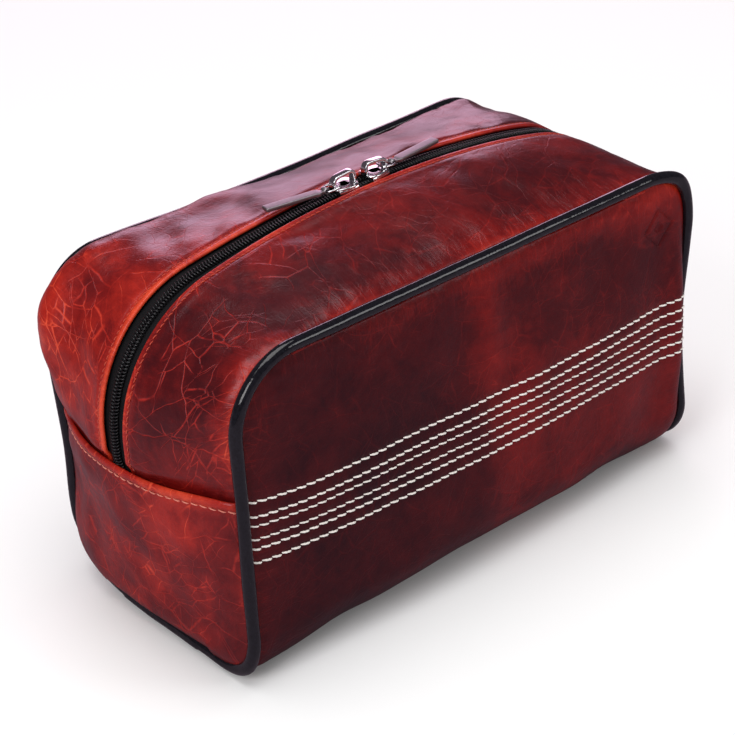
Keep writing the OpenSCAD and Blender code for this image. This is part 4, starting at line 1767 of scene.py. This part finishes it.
    def link(self) -> bpy.types.Object:
        """Build the link: a closed loop of round wire, flattened a little along its rails."""
        loop = squared(turns(72), 0.42, 0.42)
        half = self.link_length / 2.0
        path = np.stack([half + half * loop[:, 0], 2.75 * MM * loop[:, 1], np.zeros(72)], -1)
        ups = np.broadcast_to([0.0, 0.0, 1.0], path.shape)
        points, groups = sweep(path, circle(0.5 * MM, 12), closed=True, ups=ups)
        points = self.tilted(points, self.link_tilt, self.link_pivot)
        return self.finish_piece("pull_link", points, groups, CHROME)

    def tilted(self, points: Array, angle: float, pivot: tuple[float, float]) -> Array:
        """Turn points down about Y by an angle and carry them to a pivot at x and z."""
        x, y, z = points[..., 0], points[..., 1], points[..., 2]
        return np.stack([x * np.cos(angle) + z * np.sin(angle) + pivot[0], y,
                         z * np.cos(angle) - x * np.sin(angle) + pivot[1]], -1)

    def tab(self) -> bpy.types.Object:
        """Build the tab: a flat rounded bar, a narrow neck and a rolled eye round the link's bar."""
        neck, reach = 3.4 * MM, self.tab_length
        tip_arc = np.linspace(0.0, np.pi / 2.0, 6)[1:]
        stations = np.concatenate([np.linspace(1.0 * MM, neck, 10), np.linspace(neck, reach - 0.7 * MM, 30)[1:],
                                   reach - 0.7 * MM * (1.0 - np.sin(tip_arc))])
        widen = smooth((stations - 2.2 * MM) / (1.6 * MM))
        wide = 1.2 * MM + (self.tab_width / 2.0 - 1.2 * MM) * widen
        tip = np.clip((reach - stations) / (0.7 * MM), 0.0, 1.0)
        rounded = np.sqrt(1.0 - (1.0 - tip) ** 2)
        wide = wide - 0.7 * MM * (1.0 - rounded)
        thick = self.tab_thickness / 2.0 * (0.72 + 0.28 * widen) * (0.55 + 0.45 * rounded)
        turn = turns(32)
        sections = squared(turn, 0.22, 0.35)[None] * np.stack([wide, thick], -1)[:, None]
        yaw = self.tab_yaw * smooth((stations - 2.0 * MM) / (4.0 * MM))
        path = np.stack([stations, stations * np.sin(yaw), np.zeros_like(stations)], -1)
        blade = sweep(path, sections, ups=np.broadcast_to([0.0, 0.0, 1.0], path.shape))
        eye_path = np.stack([1.12 * MM * np.cos(turn), np.zeros(32), 1.12 * MM * np.sin(turn)], -1)
        oval = circle(1.0, 12) * np.array([1.55 * MM, 0.42 * MM])
        eye = sweep(eye_path, oval, closed=True, ups=eye_path)
        points, groups = join([blade, eye])
        pivot = (self.link_pivot[0] + self.link_length * np.cos(self.link_tilt),
                 self.link_pivot[1] - self.link_length * np.sin(self.link_tilt))
        points = self.tilted(points, self.tab_tilt, pivot)
        return self.finish_piece("pull_tab", points, groups, GUNMETAL)

    def finish_piece(self, name: str, points: Array, groups: list[Array], finish: Finish) -> bpy.types.Object:
        """Carry a piece to the bag, make its object and let it ride on its own body."""
        points = self.to_bag(points)
        flat = points.reshape(-1, 3)
        if signed_volume(flat - flat.mean(axis=0), groups) < 0.0:
            groups = [faces[:, ::-1] for faces in groups]
        node = f"{name}_{self.end.name.lower()}"
        return settle_in(mesh_object(f"{node}_metal", points, groups, soft=False), finish, [node], node)


# ------------ lining


@dataclass(frozen=True)
class Lining:
    """The fabric inside the bag."""

    form: BagForm
    inset: float = 2.6 * MM
    floor: float = 5.0 * MM
    cloth: float = 0.4 * MM

    def slack(self, seed: int, wavelength: float, places: Array, most: float) -> Array:
        """How far the cloth hangs off the leather: the positive half of a ripple, and a little less."""
        return np.maximum(Ripple(seed, wavelength).at(places), -0.3) * most

    def cloth_mesh(self, name: str, points: Array, normals: Array) -> bpy.types.Object:
        """Give a grid of points the cloth's thickness and make its mesh."""
        loops, faces, _ = slab(points, normals, self.cloth, arc=2)
        return mesh_object(f"{name}_cloth", loops, faces)

    def body(self) -> bpy.types.Object:
        """Build the lining of the front, base and back in one sheet with a little slack."""
        steps = ((-0.98, 0.0, 22), (0.0, 1.0, 40), (1.0, 2.0, 16), (2.0, 2.98, 14))
        q_values = np.concatenate([[-0.98], *(np.linspace(*step)[1:] for step in steps)])
        q, s = np.meshgrid(q_values, np.linspace(-0.965, 0.965, 110), indexing="ij")
        walls = [own.base(s, q) - outward_normals(own.base, s, q) * self.inset
                 for own in (LongPanel(self.form, face) for face in Face)]
        points = np.concatenate([walls[0], walls[1][::-1]])
        points[..., 2] = np.maximum(points[..., 2], self.floor)
        inward = points - np.array([0.0, 0.0, 75 * MM])
        slack = self.slack(120, 30 * MM, points, 0.5 * MM) + 0.5 * MM
        points = points - unit(inward * np.array([0.0, 1.0, 0.4])) * slack[..., None]
        piece = self.cloth_mesh("lining_body", points, unit(inward * np.array([0.0, 1.0, 1.0])))
        return settle_in(piece, LINING, ["lining_body"])

    def end(self, end: End) -> bpy.types.Object:
        """Build the lining of one lower end."""
        own = EndPanel(self.form, end)
        s, q = np.meshgrid(np.linspace(-0.95, 0.95, 60), np.linspace(0.02, 1.9, 50), indexing="ij")
        normals = outward_normals(own.base, s, q)
        slack = self.slack(130 + end.value, 28 * MM, own.base(s, q), 0.5 * MM)
        points = own.base(s, q) - normals * (self.inset + 0.4 * MM + slack)[..., None]
        points[..., 2] = np.maximum(points[..., 2], self.floor)
        node = f"lining_end_{end.name.lower()}"
        return settle_in(self.cloth_mesh(node, points, normals), LINING, [node])

    def top(self, face: Face) -> bpy.types.Object:
        """Build the lining of one gusset strip, over the top and down to the hems."""
        f, own = self.form, GussetStrip(self.form, face)
        across = np.linspace(3.6 * MM, f.half_depth - f.zip_gap_half - 1.4 * MM, 30)
        u, v = np.meshgrid(f.even_steps(220, 3.0), across, indexing="ij")
        flat = np.stack([f.along_gusset(u), v], -1)
        depth = 3.5 * MM + self.slack(140 + face.value, 26 * MM, flat, 0.3 * MM)
        points = f.gusset(u, face.value * (f.half_depth - v), depth)
        node = f"lining_top_{face.name.lower()}"
        piece = self.cloth_mesh(node, points, outward_normals(own.base, u, v))
        follow_opening(piece)
        return settle_in(piece, LINING, [node], None)


# ------------ studio


@dataclass(frozen=True)
class Studio:
    """Floor, lights, world and camera."""

    azimuth: float = np.radians(-40.18)
    elevation: float = np.radians(29.77)
    roll: float = np.radians(-2.9)
    distance: float = 931.9 * MM
    aim: tuple[float, float, float] = (0.0, 0.0, 70 * MM)
    lens: float = 106.6
    shift: float = -0.0219
    lights: tuple[tuple[str, tuple[float, float, float], float, float, tuple[float, float, float]], ...] = (
        ("top", (-0.1, -0.1, 1.7), 1.3, 17.0, (1.0, 1.0, 1.0)),
        ("key", (-1.25, -0.45, 0.95), 0.7, 9.0, (1.0, 0.97, 0.98)),
        ("back", (0.95, 1.35, 0.5), 0.8, 5.8, (1.0, 0.62, 0.84)),
        ("front", (0.9, -1.3, 0.8), 0.6, 4.5, (1.0, 1.0, 1.0)),
    )
    floor_tone: tuple[float, float, float] = (0.92, 0.92, 0.92)
    floor_in_gloss: tuple[float, float, float] = (0.24, 0.19, 0.23)
    fill: float = 0.46
    fill_in_gloss: tuple[float, float, float] = (0.08, 0.06, 0.075)

    def stand(self, name: str, data: bpy.types.ID, right: Array, up: Array, back: Array,
              spot: Sequence[float]) -> bpy.types.Object:
        """Put a camera or a light at a spot, turned by its three axes."""
        obj = bpy.data.objects.new(name, data)
        matrix = np.eye(4)
        matrix[:3] = np.stack([right, up, back, np.array(spot)], -1)
        obj.matrix_world = Matrix(matrix.tolist())
        bpy.context.scene.collection.objects.link(obj)
        return obj

    def camera(self) -> None:
        """Stand the camera off the aim by azimuth and elevation, and roll it about its own axis."""
        az, el = self.azimuth, self.elevation
        back = np.array([np.sin(az) * np.cos(el), -np.cos(az) * np.cos(el), np.sin(el)])
        right = unit(np.cross(-back, [0.0, 0.0, 1.0]))
        up = np.cross(back, right)
        rolled_right = np.cos(self.roll) * right + np.sin(self.roll) * up
        rolled_up = -np.sin(self.roll) * right + np.cos(self.roll) * up
        spot = np.array(self.aim) + back * self.distance
        data = bpy.data.cameras.new("camera")
        data.lens = self.lens
        data.sensor_width = 36.0
        data.shift_x = self.shift
        data.clip_start = 0.01
        bpy.context.scene.camera = self.stand("camera", data, rolled_right, rolled_up, back, spot)

    def light(self, name: str, spot: Sequence[float], size: float, power: float,
              colour: Sequence[float]) -> None:
        """Add a soft square light that faces the bag."""
        data = bpy.data.lights.new(name, "AREA")
        data.color = colour
        data.size = size
        data.energy = power
        back = unit(np.array(spot) - CORE)
        right = unit(np.cross([0.0, 0.0, 1.0], back))
        self.stand(name, data, right, np.cross(back, right), back, spot)

    def floor(self) -> None:
        """Add the pale floor."""
        half = 6.0
        points = np.array([[-half, -half, 0.0], [half, -half, 0.0], [half, half, 0.0], [-half, half, 0.0]])
        mesh = bpy.data.meshes.new("floor")
        mesh.from_pydata(points.tolist(), [], [(0, 1, 2, 3)])
        obj = bpy.data.objects.new("floor", mesh)
        bpy.context.scene.collection.objects.link(obj)
        material = bpy.data.materials.new("floor")
        material.use_nodes = True
        graph = Graph(material.node_tree)
        shader = material.node_tree.nodes["Principled BSDF"]
        seen = graph.node("ShaderNodeLightPath").outputs["Is Glossy Ray"]
        tone = graph.ramp(seen, [(0.0, self.floor_tone), (1.0, self.floor_in_gloss)])
        material.node_tree.links.new(tone, shader.inputs["Base Color"])
        shader.inputs["Roughness"].default_value = 0.9
        shader.inputs["Specular IOR Level"].default_value = 0.1
        mesh.materials.append(material)
        obj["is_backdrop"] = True

    def world(self) -> None:
        """Even pale surroundings, held back where a glossy surface mirrors them."""
        world = bpy.data.worlds.new("studio")
        world.use_nodes = True
        graph = Graph(world.node_tree)
        background = world.node_tree.nodes["Background"]
        ray = graph.node("ShaderNodeLightPath").outputs
        tone = graph.ramp(ray["Is Glossy Ray"], [(0.0, (self.fill,) * 3), (1.0, self.fill_in_gloss)])
        world.node_tree.links.new(tone, background.inputs[0])
        seen = graph.fade(ray["Is Camera Ray"], 0.0, 1.0, 1.0, 1.0 / self.fill)
        world.node_tree.links.new(seen, background.inputs[1])
        bpy.context.scene.world = world
        bpy.context.scene.view_settings.view_transform = "Standard"

    def build(self) -> None:
        """Set up the whole studio."""
        self.camera()
        for light in self.lights:
            self.light(*light)
        self.floor()
        self.world()


# ------------ the bag


def front_tone_and_highlight() -> tuple[Patch, ...]:
    """Tone of the front: plum at the left and along the foot, a red band, warmer towards the right, and a
    painted highlight under the top piping.
    """
    return (
        spot(-75, 70, 60, 70, -0.12), spot(0, 112, 9, 40, 0.20), spot(14, 70, 12, 50, 0.10),
        # Painted highlight: the spots at x 102, z 132 and x 60, z 136 lighten the leather under the top piping,
        # where it bulges and catches the light.
        spot(45, 60, 50, 80, 0.13), spot(102, 132, 22, 14, 0.22), spot(60, 136, 80, 6, 0.18),
        spot(80, 108, 26, 9, -0.06), spot(-30, 20, 60, 14, -0.05), spot(100, 60, 26, 60, 0.13),
    )


def build_bag(form: BagForm) -> list[bpy.types.Object]:
    """Build every piece of the bag.

    Args:
        form: The bag's form.

    Returns:
        The pieces.
    """
    row_thread = Thread(0.50 * MM, 4.35 * MM, 4.75 * MM, slant=0.8 * MM, uneven=0.06 * MM)
    edge_thread = Thread(0.30 * MM, 2.6 * MM, 2.4 * MM, slant=0.5 * MM, uneven=0.04 * MM, seed=7)
    hem_thread = Thread(0.36 * MM, 4.2 * MM, 3.6 * MM, slant=0.6 * MM, uneven=0.06 * MM, seed=8)
    pieces: list[bpy.types.Object] = []
    front = LongPanel(form, Face.FRONT, patches=front_tone_and_highlight(),
                      puffs=(spot(116, 68, 9, 44, 4.6 * MM), spot(2, 118, 7, 20, 1.1 * MM),
                             spot(-13, 112, 9, 18, -1.4 * MM)))
    back = LongPanel(form, Face.BACK, patches=(spot(0, 60, 90, 70, 0.05),))
    pieces += [front.build(), front.sew_rows(row_thread), back.build()]
    strips = {
        Face.FRONT: {
            "patches": (spot(-168, 28, 30, 40, 0.05), spot(-128, 26, 26, 20, -0.16),
                        spot(-128, 2, 30, 9, 0.22), spot(-20, 22, 60, 15, -0.07),
                        spot(70, 24, 40, 18, -0.10)),
            "creased": (spot(-138, 28, 40, 30, 0.9), spot(-80, 34, 40, 20, 0.35)),
            "puffs": (spot(-128, 8, 26, 8, 1.2 * MM),)},
        Face.BACK: {
            "patches": (spot(-140, 30, 56, 40, 0.42), spot(-120, 26, 20, 10, -0.10),
                        spot(0, 28, 70, 30, -0.04)),
            "creased": (spot(-140, 30, 45, 40, 0.5),),
            "puffs": (spot(-132, 11, 44, 13, 7.0 * MM), spot(-146, 11, 17, 12, 2.2 * MM),
                      spot(-60, 10, 40, 10, 3.2 * MM), spot(100, 9, 28, 9, 2.6 * MM)),
            "waves": 0.42 * MM},
    }
    for face, own in strips.items():
        strip = GussetStrip(form, face, **own)
        pieces += [strip.build(), strip.sew_edge(edge_thread)]
    for end in End:
        panel = EndPanel(form, end, patches=(spot(-20, 66, 40, 12, 0.14), spot(-30, 28, 26, 22, 0.08),
                                             spot(46, 40, 16, 40, -0.05)),
                         puffs=(spot(46, 20, 20, 20, 4.5 * MM), spot(8, 12, 50, 9, 2.2 * MM)))
        pieces += [panel.build(), panel.sew_hem(hem_thread)]
    pieces += [Piping(form).build(), Piping(form).cord()]
    zipper = Zip(form)
    for face in Face:
        pieces += [zipper.tape(face), zipper.coil(face)]
    for end in End:
        lie = {"tab_tilt": np.radians(-1.5), "tab_yaw": np.radians(10.0)} if end is End.LEFT else {}
        pull = ZipPull(form, end, **lie)
        pieces += [pull.slider(), pull.link(), pull.tab()]
    lining = Lining(form)
    pieces.append(lining.body())
    pieces += [lining.end(end) for end in End]
    pieces += [lining.top(face) for face in Face]
    return pieces


def dress_hidden_nodes() -> None:
    """Give the CAD nodes that stay their finishes."""
    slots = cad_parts["base_board"].data.materials
    slots.clear()
    slots.append(BOARD.material())


def corners() -> list[list[float]]:
    """The whole object's box as plain lists."""
    return [[float(value) for value in corner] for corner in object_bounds()]


def main() -> None:
    """Build the studio and the bag."""
    logging.basicConfig(level=logging.INFO)
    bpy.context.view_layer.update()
    Studio().build()
    form = BagForm.from_frame()
    pieces = build_bag(form)
    dress_hidden_nodes()
    LOG.info("%d pieces built", len(pieces))


if __name__ == "__main__":
    main()
